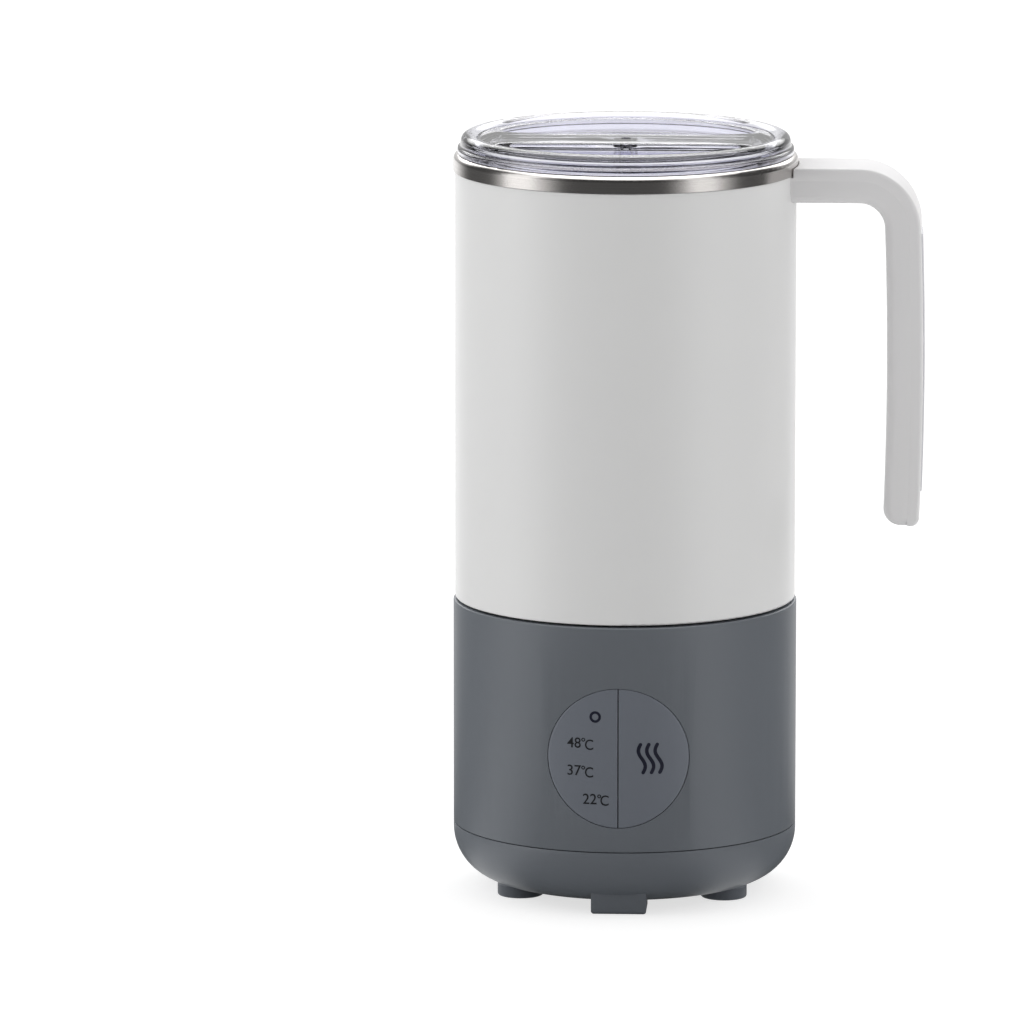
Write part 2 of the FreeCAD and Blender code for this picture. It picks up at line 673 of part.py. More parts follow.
def base_cover():
    body = new_body("base_cover")
    lip_outer = well_wall - d.fit_gap
    lip_inner = lip_outer - d.lip_wall
    corner = d.body_radius - d.cover_corner
    inner_corner = lip_inner - d.cover_inner_corner
    turned(body, [
        (0, d.foot_height), (corner, d.foot_height),
        (d.body_radius, d.foot_height + d.cover_corner, d.cover_corner),
        (d.body_radius, cover_top), (lip_outer, cover_top),
        (lip_outer, cover_top + d.lip_height), (lip_inner, cover_top + d.lip_height),
        (lip_inner, cover_floor_top + d.cover_inner_corner),
        (inner_corner, cover_floor_top, -d.cover_inner_corner),
        (0, cover_floor_top)])
    # three standing tabs, the first at the front
    half = d.tab_width / 2
    tab_root = tab_reach - d.tab_length
    tab = raised(body, 0, cover_floor_top + d.tab_rise, [rectangle(-half, -tab_reach, half, -tab_root)])
    repeated(body, [tab], tab_count)
    rounded(body, d.tab_bevel, lambda e: on_level(e, 0))
    # bosses round the screw holes, pillars for the main board, posts and seats for the rubber feet
    foot_top = d.foot_height + d.foot_sink
    raised(body, foot_top, cover_floor_top, circles=[(x, y, d.foot_radius) for x, y in foot_places])
    boss_top = cover_floor_top + d.boss_height
    raised(body, cover_floor_top, boss_top, circles=[(x, y, d.boss_radius) for x, y in post_places])
    raised(body, cover_floor_top, board_bottom,
           circles=[(x, y, d.standoff_radius) for x, y in board_places()])
    sunk(body, d.foot_height, boss_top,
         circles=[(x, y, d.screw_radius + d.fit_gap) for x, y in post_places])
    head_top = foot_top + d.screw_head_height
    sunk(body, d.foot_height, head_top, circles=[(x, y, d.screw_head + d.fit_gap) for x, y in post_places])
    sunk(body, d.foot_height, foot_top, circles=[(x, y, d.foot_radius) for x, y in foot_places])
    sunk(body, cover_floor_top, board_bottom,
         circles=[(x, y, d.board_screw_radius) for x, y in board_places()])


def on_level(edge, level):
    box = edge.BoundBox
    return abs(box.ZMin - level) < 0.001 and abs(box.ZMax - level) < 0.001


def board_places():
    x = d.board_length / 2 - d.board_inset
    y = d.board_width / 2 - d.board_inset
    return [(x, y), (-x, y), (-x, -y), (x, -y)]


def rubber_feet():
    body = new_body("rubber_feet")
    raised(body, 0, d.foot_height + d.foot_sink, circles=[(x, y, d.foot_radius) for x, y in foot_places])
    rounded(body, d.foot_round, lambda e: on_level(e, 0))


def cover_screws():
    low = d.foot_height + d.foot_sink
    post_low = cover_floor_top + d.boss_height
    screws("cover_screws", post_places, d.screw_head, d.screw_radius,
           low, low + d.screw_head_height, post_low + d.screw_grip)


def base_housing():
    body = new_body("base_housing")
    ledge = well_wall - d.ledge_width
    turned(body, [
        (well_wall, housing_bottom), (d.body_radius, housing_bottom),
        (d.body_radius, housing_rim - d.rim_round),
        (d.body_radius - d.rim_round, housing_rim, d.rim_round),
        (well_wall, housing_rim), (well_wall, deck_bottom), (ledge, deck_bottom),
        (well_wall, deck_bottom - d.ledge_width - d.ledge_height)])
    # round opening for the control panel and a square one for the inlet
    forward(body, stem_end, d.body_radius + cut_past,
            circles=[(0, d.panel_height, d.panel_radius)], kind="Pocket")
    half_width = d.inlet_half_width + d.fit_gap
    half_height = d.inlet_half_height + d.fit_gap
    backward(body, inlet_flange_front, d.body_radius + cut_past,
             [rectangle(-half_width, d.inlet_height - half_height,
                        half_width, d.inlet_height + half_height)], kind="Pocket")
    # two bosses on the inside of the wall carry the frame of the control board
    places = [(d.frame_screw_offset, d.panel_height), (-d.frame_screw_offset, d.panel_height)]
    wall_there = height_over(well_wall, d.frame_screw_offset)
    boss_end = height_over(d.body_radius, d.frame_screw_offset + d.frame_boss_radius) - d.hairline
    forward(body, control_board_back, boss_end, circles=[(x, z, d.frame_boss_radius) for x, z in places])
    forward(body, control_board_back, wall_there,
            circles=[(x, z, d.frame_screw_radius) for x, z in places], kind="Pocket")


def deck():
    body = new_body("deck")
    outer = well_wall - d.deck_seal_width
    inner = d.heater_radius + d.heater_seal_wall
    turned(body, ring(inner, outer, deck_bottom, deck_top))
    post_low = cover_floor_top + d.boss_height
    raised(body, post_low, deck_bottom, circles=[(x, y, d.post_radius) for x, y in post_places])
    raised(body, plate_top, deck_bottom, circles=[(x, y, d.deck_boss_radius) for x, y in ear_places])
    sunk(body, post_low, post_low + d.screw_grip, circles=[(x, y, d.screw_radius) for x, y in post_places])
    sunk(body, plate_top, plate_top + d.plate_screw_grip,
         circles=[(x, y, d.plate_screw_radius) for x, y in ear_places])


def deck_seal():
    body = new_body("deck_seal")
    turned(body, ring(well_wall - d.deck_seal_width, well_wall, deck_bottom, deck_top))


def heater_plate():
    body = new_body("heater_plate")
    bore = d.window_radius + d.window_seal_width
    edge = d.rim_round
    turned(body, [
        (bore, heater_bottom), (d.heater_radius - d.heater_skirt, heater_bottom),
        (d.heater_radius - d.heater_skirt, heater_top - d.heater_depth),
        (d.heater_radius, heater_top - d.heater_depth), (d.heater_radius, heater_top - edge),
        (d.heater_radius - edge, heater_top, edge), (bore, heater_top)])
    raised(body, plate_top, heater_bottom,
           circles=[(x, y, d.heater_post_radius) for x, y in pillar_places])
    sunk(body, plate_top, heater_bottom,
         circles=[(x, y, d.heater_screw_radius) for x, y in pillar_places])
    sunk(body, heater_bottom, heater_top,
         circles=[(-d.sensor_circle, 0, d.sensor_radius + d.fit_gap)])


def heater_seal():
    body = new_body("heater_seal")
    outer = d.heater_radius + d.heater_seal_wall
    lip_top = deck_top + d.heater_seal_lip_height
    turned(body, [
        (d.heater_radius, deck_bottom), (outer, deck_bottom), (outer, deck_top),
        (outer + d.heater_seal_lip, deck_top), (outer + d.heater_seal_lip, lip_top),
        (d.heater_radius, lip_top)])


def heating_element():
    # a tube with a flat top, soldered under the heater plate, in three runs between the pillars
    body = new_body("heating_element")
    half = d.element_width / 2
    low = heater_bottom - d.element_width
    turned(body, [
        (d.element_circle - half, heater_bottom),
        (d.element_circle - half, heater_bottom - half),
        (d.element_circle, low, half), (d.element_circle + half, heater_bottom - half, half),
        (d.element_circle + half, heater_bottom)])
    sunk(body, low, heater_bottom,
         circles=[(x, y, d.heater_post_radius + d.element_gap) for x, y in pillar_places])


def heater_screws():
    # from below through the motor plate into the pillars
    screws("heater_screws", pillar_places, d.heater_screw_head, d.heater_screw_radius,
           plate_bottom - d.plate_screw_head_height, plate_bottom, heater_bottom)


def magnet_window():
    body = new_body("magnet_window")
    inner = d.window_radius - d.window_wall
    turned(body, [
        (inner, plate_top), (d.window_radius, plate_top), (d.window_radius, window_top),
        (0, window_top), (0, window_top - d.window_roof), (inner, window_top - d.window_roof)])


def window_seal():
    body = new_body("window_seal")
    middle = (heater_top + heater_bottom) / 2
    half = d.window_seal_height / 2
    turned(body, ring(d.window_radius, d.window_radius + d.window_seal_width, middle - half, middle + half))


def temperature_sensor():
    body = new_body("temperature_sensor")
    raised(body, heater_top - d.sensor_length, heater_top, circles=[(-d.sensor_circle, 0, d.sensor_radius)])


def thermal_cutout():
    body = new_body("thermal_cutout")
    raised(body, plate_top, plate_top + d.cutout_height, circles=[(0, d.cutout_circle, d.cutout_radius)])


def motor_plate():
    body = new_body("motor_plate")
    turned(body, ring(d.plate_bore, plate_radius, plate_bottom, plate_top))
    half = d.ear_width / 2
    ear = raised(body, plate_bottom, plate_top,
                 [rectangle(-half, -d.ear_reach, half, -d.heater_post_circle)])
    repeated(body, [ear], tab_count)
    sunk(body, plate_bottom, plate_top,
         circles=[(x, y, d.plate_screw_radius + d.fit_gap) for x, y in ear_places])
    sunk(body, plate_bottom, plate_top, circles=[(x, y, d.heater_screw_radius + d.fit_gap)
                                                 for x, y in pillar_places])
    sunk(body, plate_bottom, plate_top, circles=[(x, y, d.motor_screw_radius + d.fit_gap)
                                                 for x, y in motor_screw_places])


def motor_plate_screws():
    screws("motor_plate_screws", ear_places, d.plate_screw_head, d.plate_screw_radius,
           plate_bottom - d.plate_screw_head_height, plate_bottom, plate_top + d.plate_screw_grip)


def motor_damper():
    body = new_body("motor_damper")
    turned(body, ring(d.damper_bore, d.motor_radius, motor_top, plate_bottom))
    sunk(body, motor_top, plate_bottom, circles=[(x, y, d.motor_screw_radius + d.fit_gap)
                                                 for x, y in motor_screw_places])


def motor_screws():
    screws("motor_screws", motor_screw_places, d.motor_screw_head, d.motor_screw_radius,
           plate_top, plate_top + d.plate_screw_head_height, motor_top - d.motor_end)


def motor_can():
    body = new_body("motor_can")
    bearing = d.shaft_radius + d.shaft_gap
    inner = d.motor_radius - d.motor_wall
    roof = motor_top - d.motor_end
    turned(body, [
        (inner, motor_bottom), (d.motor_radius, motor_bottom), (d.motor_radius, motor_top),
        (bearing, motor_top), (bearing, roof), (inner, roof)])
    sunk(body, roof, motor_top,
         circles=[(x, y, d.motor_screw_radius) for x, y in motor_screw_places])


def motor_end_cap():
    body = new_body("motor_end_cap")
    bearing = d.shaft_radius + d.shaft_gap
    top = motor_bottom + d.end_cap_thickness
    turned(body, [
        (0, motor_bottom), (d.motor_radius - d.motor_wall, motor_bottom),
        (d.motor_radius - d.motor_wall, top), (bearing, top),
        (bearing, motor_bottom + d.shaft_below), (0, motor_bottom + d.shaft_below)])


def field_middle():
    low = motor_bottom + d.end_cap_thickness
    high = motor_top - d.motor_end
    return (low + high) / 2


def field_magnets():
    body = new_body("field_magnets")
    outer = d.motor_radius - d.motor_wall
    inner = outer - d.field_wall
    low = field_middle() - d.field_length / 2
    high = field_middle() + d.field_length / 2
    turned(body, ring(inner, outer, low, high))
    half = d.field_gap_width / 2
    sunk(body, low, high, [rectangle(-half, -d.motor_radius, half, d.motor_radius)])


def motor_shaft():
    body = new_body("motor_shaft")
    low = motor_bottom + d.shaft_below + d.shaft_gap
    turned(body, ring(0, d.shaft_radius, low, motor_top + d.shaft_above))


def armature():
    body = new_body("armature")
    outer = d.motor_radius - d.motor_wall - d.field_wall - d.air_gap
    low = field_middle() - d.armature_length / 2
    high = field_middle() + d.armature_length / 2
    turned(body, ring(d.shaft_radius, outer, low, high))
    # three winding slots
    half = d.slot_width / 2
    slot = sunk(body, low, high, [rectangle(-half, d.slot_root, half, outer + d.air_gap)])
    repeated(body, [slot], slot_count)


def carrier_levels():
    high = window_top - d.window_roof - d.carrier_gap
    return high - d.carrier_height, high


def magnet_carrier():
    body = new_body("magnet_carrier")
    low, high = carrier_levels()
    shaft_top = motor_top + d.shaft_above
    turned(body, [
        (d.shaft_radius, low - d.carrier_hub_height), (d.carrier_hub, low - d.carrier_hub_height),
        (d.carrier_hub, low), (d.carrier_radius, low), (d.carrier_radius, high), (0, high),
        (0, shaft_top), (d.shaft_radius, shaft_top)])
    sunk(body, high - d.magnet_height, high,
         circles=[(x, y, d.magnet_radius) for x, y in magnet_places])


def drive_magnets():
    body = new_body("drive_magnets")
    low, high = carrier_levels()
    raised(body, high - d.magnet_height, high,
           circles=[(x, y, d.magnet_radius) for x, y in magnet_places])


def main_board():
    body = new_body("main_board")
    x = d.board_length / 2
    y = d.board_width / 2
    raised(body, board_bottom, board_top, [rectangle(-x, -y, x, y)],
           [(px, py, d.board_screw_radius + d.fit_gap) for px, py in board_places()])


def main_board_screws():
    screws("main_board_screws", board_places(), d.board_screw_head, d.board_screw_radius,
           board_top, board_top + d.board_screw_head_height, cover_floor_top + d.fit_gap)


def board_parts():
    block("transformer", d.transformer_x, d.transformer_y, board_top,
          d.transformer_length, d.transformer_width, d.transformer_height)
    block("heater_relay", d.relay_x, d.relay_y, board_top, d.relay_length, d.relay_width, d.relay_height)
    body = new_body("capacitors")
    raised(body, board_top, board_top + d.capacitor_height,
           circles=[(d.capacitor_x + i * d.capacitor_pitch, d.capacitor_y, d.capacitor_radius)
                    for i in range(2)])


def control_frame():
    body = new_body("control_frame")
    front = control_board_back
    back = front - d.frame_thickness
    wide = d.frame_half_width
    tall = d.frame_half_height
    z = d.panel_height
    board_wide = d.control_board_half_width
    board_tall = d.control_board_half_height
    outer = [
        (-wide, z - tall), (-board_wide, z - tall), (-board_wide, z - board_tall),
        (board_wide, z - board_tall), (board_wide, z - tall), (wide, z - tall), (wide, z + tall),
        (board_wide, z + tall), (board_wide, z + board_tall), (-board_wide, z + board_tall),
        (-board_wide, z + tall), (-wide, z + tall)]
    window = rectangle(-d.frame_window, z - d.frame_window_half_height,
                       d.frame_window, z + d.frame_window_half_height)
    offset = d.frame_screw_offset
    hole = d.frame_screw_radius + d.fit_gap
    forward(body, back, front, [outer, window], [(offset, z, hole), (-offset, z, hole)])
    forward(body, front, control_board_front + d.frame_pin_proud,
            circles=[(x, y, d.frame_pin_radius) for x, y in frame_pins()])


def frame_pins():
    x = d.control_board_half_width - d.frame_pin_inset
    y = d.control_board_half_height - d.frame_pin_inset
    return [(x, d.panel_height + y), (-x, d.panel_height + y),
            (-x, d.panel_height - y), (x, d.panel_height - y)]


def control_board():
    body = new_body("control_board")
    front = control_board_front
    wide = d.control_board_half_width
    tall = d.control_board_half_height
    z = d.panel_height
    forward(body, front - d.board_thickness, front, [rectangle(-wide, z - tall, wide, z + tall)],
            [(x, y, d.frame_pin_radius) for x, y in frame_pins()])


def control_frame_screws():
    offset = d.frame_screw_offset
    z = d.panel_height
    back = control_board_back - d.frame_thickness
    wall_there = height_over(well_wall, offset)
    screws("control_frame_screws", [(offset, z), (-offset, z)], d.frame_screw_head, d.frame_screw_radius,
           back - d.frame_screw_head_height, back, wall_there, "front")


def button_switches():
    body = new_body("button_switches")
    front = control_board_front
    half = d.switch_size / 2
    z = d.panel_height
    centres = (-d.stem_offset, d.stem_offset)
    forward(body, front, front + d.switch_height,
            [rectangle(x - half, z - half, x + half, z + half) for x in centres])
    forward(body, front + d.switch_height - d.switch_bore_depth, front + d.switch_height,
            circles=[(x, z, d.plunger_radius + d.plunger_gap) for x in centres], kind="Pocket")


def status_lamps():
    body = new_body("status_lamps")
    front = control_board_front
    x = d.led_inset - d.control_board_half_width
    rows = [(2 * row - lamp_count + 1) / 2 for row in range(lamp_count)]
    forward(body, front, front + d.led_height,
            circles=[(x, d.panel_height + row * d.led_pitch, d.led_radius) for row in rows])


def half_round(side, radius):
    # half of a circle round the panel's middle, left or right of the split
    x = side * d.panel_split / 2
    half = height_over(radius, d.panel_split / 2)
    z = d.panel_height
    return [(x, z - half), (side * radius, z, side * radius), (x, z + half, side * radius)]


def button(label, side):
    body = new_body(label)
    # the rim behind the wall and the face through it, both bent like the wall
    flange_outer = well_wall - d.button_flange_gap
    flange_inner = flange_outer - d.button_flange_thickness
    near = stem_end
    far = d.body_radius + cut_past
    forward(body, near, far, [half_round(side, d.panel_radius + d.button_flange)])
    reach = d.body_radius * 2
    low = d.panel_height - d.panel_radius * 2
    high = d.panel_height + d.panel_radius * 2
    turned(body, ring(flange_outer, reach, low, high), "Groove")
    forward(body, near, far, [half_round(side, d.panel_radius - d.panel_gap)])
    turned(body, ring(d.body_radius, reach, low, high), "Groove")
    turned(body, ring(0, flange_inner, low, high), "Groove")
    x = side * d.stem_offset
    depth = height_over(flange_inner, d.stem_offset + d.stem_radius)
    forward(body, near, depth + d.button_flange_thickness, circles=[(x, d.panel_height, d.stem_radius)])


def plunger(label, side):
    body = new_body(label)
    forward(body, stem_end - d.plunger_length, stem_end,
            circles=[(side * d.stem_offset, d.panel_height, d.plunger_radius)])


def power_inlet():
    body = new_body("power_inlet")
    wide = d.inlet_half_width
    tall = d.inlet_half_height
    z = d.inlet_height
    more = d.inlet_flange
    backward(body, inlet_face - d.inlet_depth, inlet_face, [rectangle(-wide, z - tall, wide, z + tall)])
    backward(body, inlet_flange_front - d.inlet_flange_thickness, inlet_flange_front,
             [rectangle(-wide - more, z - tall - more, wide + more, z + tall + more)])
    backward(body, inlet_face - d.socket_depth, inlet_face, [socket_outline(z)], kind="Pocket")
    backward(body, inlet_face - d.inlet_depth, inlet_face - d.socket_depth,
             circles=[(d.pin_offset, z, d.pin_radius), (-d.pin_offset, z, d.pin_radius)], kind="Pocket")


def socket_outline(z):
    straight = d.socket_half_width - d.socket_half_height
    radius = d.socket_half_height
    return [(-straight, z - radius, radius), (straight, z - radius), (straight + radius, z, radius),
            (straight, z + radius, radius), (-straight, z + radius), (-straight - radius, z, radius)]


def inlet_pins():
    body = new_body("inlet_pins")
    z = d.inlet_height
    backward(body, inlet_face - d.inlet_depth - d.pin_tail,
             inlet_face - d.socket_depth + d.pin_length,
             circles=[(d.pin_offset, z, d.pin_radius), (-d.pin_offset, z, d.pin_radius)])


def jug_shell():
    body = new_body("jug_shell")
    outer = shell_radius
    inner = shell_inner
    flange_bore = pot_bore - d.shell_flange_lap
    rebate = d.body_radius - d.pot_wall - d.fit_gap
    top = band_top - d.pot_wall - d.gasket_thickness
    flange_top = shell_bottom + d.shell_flange
    turned(body, [
        (flange_bore, shell_bottom), (outer - d.shell_edge, shell_bottom),
        (outer, shell_bottom + d.shell_edge, d.shell_edge), (outer, shoulder), (rebate, shoulder),
        (rebate, top), (inner, top), (inner, flange_top), (flange_bore, flange_top)])
    sunk(body, shell_bottom, flange_top,
         circles=[(x, y, d.jug_screw_radius) for x, y in jug_screw_places])
    across_wall(body, 0, outer + cut_past, d.handle_screw_radius + d.fit_gap)


def handle_screw_height():
    return band_top - d.handle_top_drop - d.arm_depth / 2


def across_wall(body, near, far, radius, kind="Pocket"):
    # round holes or pins along +X, one each side of the handle's middle
    height = handle_screw_height()
    places = [(d.handle_screw_offset, height), (-d.handle_screw_offset, height)]
    sketch = new_sketch(body, "YZ_Plane", circles=[(y, z, radius) for y, z in places], level=near)
    made = feature(body, kind, sketch)
    bind(made, "Length", far - near)
    made.Reversed = kind == "Pocket"
    return made


def inner_pot():
    body = new_body("inner_pot")
    bore = pot_bore
    outer = bore + d.pot_wall
    corner = d.pot_corner
    mouth = d.pot_mouth_round
    under = band_top - d.pot_wall
    edge = d.band_round
    turned(body, [
        (0, pot_bottom), (outer - corner, pot_bottom), (outer, pot_bottom + corner, corner),
        (outer, band_top - mouth), (bore + mouth, under, -(mouth - d.pot_wall)),
        (d.body_radius - edge, under), (d.body_radius - d.pot_wall, band_top - edge, -(edge - d.pot_wall)),
        (d.body_radius - d.pot_wall, band_bottom), (d.body_radius, band_bottom),
        (d.body_radius, band_top - edge), (d.body_radius - edge, band_top, edge),
        (bore + mouth, band_top), (bore, band_top - mouth, mouth), (bore, pot_bottom + corner),
        (outer - corner, pot_floor, -(corner - d.pot_wall)), (0, pot_floor)])


def rim_gasket():
    body = new_body("rim_gasket")
    top = band_top - d.pot_wall
    low = top - d.gasket_thickness
    turned(body, ring(shell_inner - d.gasket_lap, d.body_radius - d.band_round, low, top))


def jug_base_ring():
    body = new_body("jug_base_ring")
    floor = cap_bottom + d.cap_floor
    seat = pot_bottom - d.pot_seal_height
    edge = d.shell_edge
    turned(body, [
        (d.cap_bore, cap_bottom), (cap_radius - edge, cap_bottom), (cap_radius, cap_bottom + edge, edge),
        (cap_radius, shell_bottom), (cap_radius - d.cap_wall, shell_bottom),
        (cap_radius - d.cap_wall, floor),
        (d.cap_bore + d.cap_inner_wall, floor), (d.cap_bore + d.cap_inner_wall, seat), (d.cap_bore, seat)])
    sunk(body, cap_bottom, shell_bottom,
         circles=[(x, y, d.jug_screw_radius + d.fit_gap) for x, y in jug_screw_places])
    sunk(body, cap_bottom, cap_bottom + d.jug_screw_recess + d.jug_screw_head_height,
         circles=[(x, y, d.jug_screw_head) for x, y in jug_screw_places])


def jug_screws():
    low = cap_bottom + d.jug_screw_recess
    screws("jug_screws", jug_screw_places, d.jug_screw_head, d.jug_screw_radius,
           low, low + d.jug_screw_head_height, shell_bottom + d.shell_flange)


def pot_seal():
    body = new_body("pot_seal")
    low = pot_bottom - d.pot_seal_height
    turned(body, ring(d.cap_bore, d.cap_bore + d.pot_seal_width, low, pot_bottom))


def spindle_pin():
    body = new_body("spindle_pin")
    foot_top = pot_floor + d.spindle_foot_height
    turned(body, [
        (0, pot_floor), (d.spindle_foot_radius, pot_floor), (d.spindle_foot_radius, foot_top),
        (d.spindle_radius, foot_top), (d.spindle_radius, pot_floor + d.spindle_length),
        (0, pot_floor + d.spindle_length)])


def whisk_levels():
    sleeve_low = pot_floor + d.spindle_foot_height + d.seat_gap
    flange_top = sleeve_low + d.sleeve_flange_height
    roof_low = pot_floor + d.spindle_length + d.seat_gap
    sleeve_top = roof_low + d.sleeve_roof
    return sleeve_low, flange_top, roof_low, sleeve_top


def whisk_sleeve():
    body = new_body("whisk_sleeve")
    low, flange_top, roof_low, top = whisk_levels()
    bore = d.spindle_radius + d.shaft_gap
    outer = bore + d.sleeve_wall
    turned(body, [
        (bore, low), (d.spindle_foot_radius, low), (d.spindle_foot_radius, flange_top),
        (outer, flange_top), (outer, roof_low), (d.sleeve_head_radius, roof_low),
        (d.sleeve_head_radius, top), (0, top), (0, roof_low), (bore, roof_low)])


def whisk_plate_levels():
    low, flange_top, roof_low, top = whisk_levels()
    plate_low = flange_top + d.seat_gap
    return plate_low, plate_low + d.whisk_cap_thickness


def whisk_wheel():
    body = new_body("whisk_wheel")
    low, flange_top, roof_low, sleeve_top = whisk_levels()
    plate_low, disc_low = whisk_plate_levels()
    hub_top = sleeve_top + d.seat_gap + d.whisk_roof
    hub = d.whisk_hub_radius
    disc_top = disc_low + d.whisk_disc_thickness
    bore = d.sleeve_head_radius + d.shaft_gap
    turned(body, [
        (bore, disc_low), (d.whisk_disc_radius, disc_low), (d.whisk_disc_radius, disc_top), (hub, disc_top),
        (hub, hub_top - d.whisk_hub_round), (hub - d.whisk_hub_round, hub_top, d.whisk_hub_round),
        (0, hub_top), (0, sleeve_top + d.seat_gap), (bore, sleeve_top + d.seat_gap)])
    half = d.fin_thickness / 2
    fin = raised(body, disc_low, disc_top + d.fin_height,
                 [rectangle(hub - d.fin_overlap, -half, d.whisk_disc_radius, half)])
    repeated(body, [fin], fin_count)
    sunk(body, disc_low, disc_low + d.magnet_height,
         circles=[(x, y, d.magnet_radius) for x, y in magnet_places])


def whisk_magnets():
    body = new_body("whisk_magnets")
    plate_low, disc_low = whisk_plate_levels()
    raised(body, disc_low, disc_low + d.magnet_height,
           circles=[(x, y, d.magnet_radius) for x, y in magnet_places])


def whisk_plate():
    body = new_body("whisk_plate")
    plate_low, disc_low = whisk_plate_levels()
    bore = d.spindle_radius + d.shaft_gap + d.sleeve_wall + d.shaft_gap
    turned(body, ring(bore, d.whisk_hub_radius, plate_low, disc_low))


def lid_shell():
    body = new_body("lid_shell")
    rim = band_top
    floor_top = rim - d.lid_floor_drop
    floor_low = floor_top - d.lid_floor
    skirt_low = floor_low - d.plug_skirt
    groove_high = floor_low - d.lid_seal_drop
    groove_low = groove_high - d.lid_seal_height
    plug = plug_radius
    groove = plug - d.lid_seal_depth
    crest = rim + d.crest_height
    bar_top = crest - d.bar_drop
    half = d.crest_half_width
    middle = crest_circle
    roof = crest - half
    core = half - d.lid_wall / 2
    inner = middle - height_over(half, bar_top - roof)
    edge = d.lid_flange_round
    turned(body, [
        (0, floor_low), (plug - d.plug_wall, floor_low), (plug - d.plug_wall, skirt_low),
        (plug - edge, skirt_low), (plug, skirt_low + edge, edge), (plug, groove_low), (groove, groove_low),
        (groove, groove_high), (plug, groove_high), (plug, rim), (middle - core, rim),
        (middle - core, crest - d.lid_wall), (middle + core, crest - d.lid_wall), (middle + core, rim),
        (lid_radius, rim), (lid_radius, rim + d.lid_flange - edge),
        (lid_radius - edge, rim + d.lid_flange, edge), (middle + half, rim + d.lid_flange),
        (middle + half, roof), (middle, crest, half), (inner, bar_top, half), (0, bar_top)])
    # two finger wells, front and back of the bar
    a = d.bar_half_width
    f = d.well_corner
    well = well_radius
    x = height_over(well - f, a + f)
    tangent_x = x * well / (well - f)
    tangent_y = (a + f) * well / (well - f)
    outline = [(-x, a, f), (x, a), (tangent_x, tangent_y, f), (-tangent_x, tangent_y, well)]
    pocket = sunk(body, floor_top, crest, [outline])
    repeated(body, [pocket], 2)
    # the bar is hollow from below, with the vent's stem in its middle
    bar_low = bar_top - d.lid_wall
    inside = a - d.lid_wall
    length = well_radius - d.bar_hollow_inset
    sunk(body, floor_low, bar_low, [rectangle(-length, -inside, length, inside)])
    raised(body, floor_low, bar_low, circles=[(0, 0, d.vent_radius)])
    sunk(body, floor_low, bar_top, circles=[(0, 0, d.vent_bore)])


def lid_seal():
    body = new_body("lid_seal")
    high = band_top - d.lid_floor_drop - d.lid_floor - d.lid_seal_drop
    low = high - d.lid_seal_height
    outer = pot_bore - d.lid_seal_gap
    half = d.lid_seal_height / 2
    turned(body, [
        (plug_radius - d.lid_seal_depth, low), (plug_radius, low), (outer, low + half),
        (plug_radius, high), (plug_radius - d.lid_seal_depth, high)])


def bow_radius():
    # radius of the gentle arc along the upright part
    chord = handle_top() - d.handle_outer_corner - d.handle_end - d.handle_end_outer
    return chord * chord / (8 * d.handle_bow) + d.handle_bow / 2


def handle_top():
    return band_top - d.handle_top_drop


def handle_levels():
    top = handle_top()
    return top, top - d.arm_depth, handle_reach - d.handle_bow, d.handle_end


def trim_handle_root(body):
    # the root follows the jug shell and keeps clear of the steel rim
    clear = d.body_radius + d.handle_clearance
    low = handle_top() - 2 * d.arm_depth
    turned(body, [
        (0, low), (shell_radius, low), (shell_radius, shoulder - d.handle_clearance),
        (clear, shoulder - d.handle_clearance), (clear, band_top), (0, band_top)], "Groove")


def on_side(edge, half_width):
    box = edge.BoundBox
    flat = box.YMax - box.YMin < 0.001
    return flat and abs(abs(box.YMax) - half_width) < 0.001


def handle_body():
    body = new_body("handle_body")
    top, under, back, end = handle_levels()
    front = back - d.handle_depth
    parting = back - d.handle_cover_depth
    corner = d.handle_outer_corner
    turn = d.handle_inner_corner
    start = shell_radius - d.handle_root
    bow = bow_radius()
    sideways(body, d.handle_half_width, [[
        (start, under), (front - turn, under), (front, under - turn, -turn),
        (front, end + d.handle_end_inner, -(bow - d.handle_depth)),
        (front + d.handle_end_inner, end, d.handle_end_inner), (parting, end),
        (parting, end + d.handle_end_outer), (parting, top - corner, bow - d.handle_cover_depth),
        (back - corner, top - d.handle_cover_depth, corner - d.handle_cover_depth),
        (start, top - d.handle_cover_depth)]])
    rounded(body, d.handle_edge, inner_contour)
    # hollow towards the cover
    wall = d.handle_wall
    inside = front + wall
    low = end + d.handle_end_inner + wall
    hollow_start = shell_radius + d.handle_root
    sideways(body, d.handle_half_width - wall, [[
        (hollow_start, under + wall), (front - turn, under + wall), (inside, under - turn, -(turn + wall)),
        (inside, low, -(bow - d.handle_depth + wall)), (handle_reach, low), (handle_reach, top),
        (hollow_start, top)]], "Pocket")
    trim_handle_root(body)
    across_wall(body, 0, shell_radius + d.handle_screw_grip, d.handle_screw_radius)


def inner_contour(edge):
    # long edges along the side of the handle that faces the jug, its end included
    top, under, back, end = handle_levels()
    parting = float(back) - float(d.handle_cover_depth) - 0.01
    box = edge.BoundBox
    faces_cover = box.XMin > parting or (box.XMax > parting and box.ZLength > float(d.arm_depth))
    on_arm = box.ZMax > float(under) + 0.01
    return on_side(edge, float(d.handle_half_width)) and not (faces_cover or on_arm)


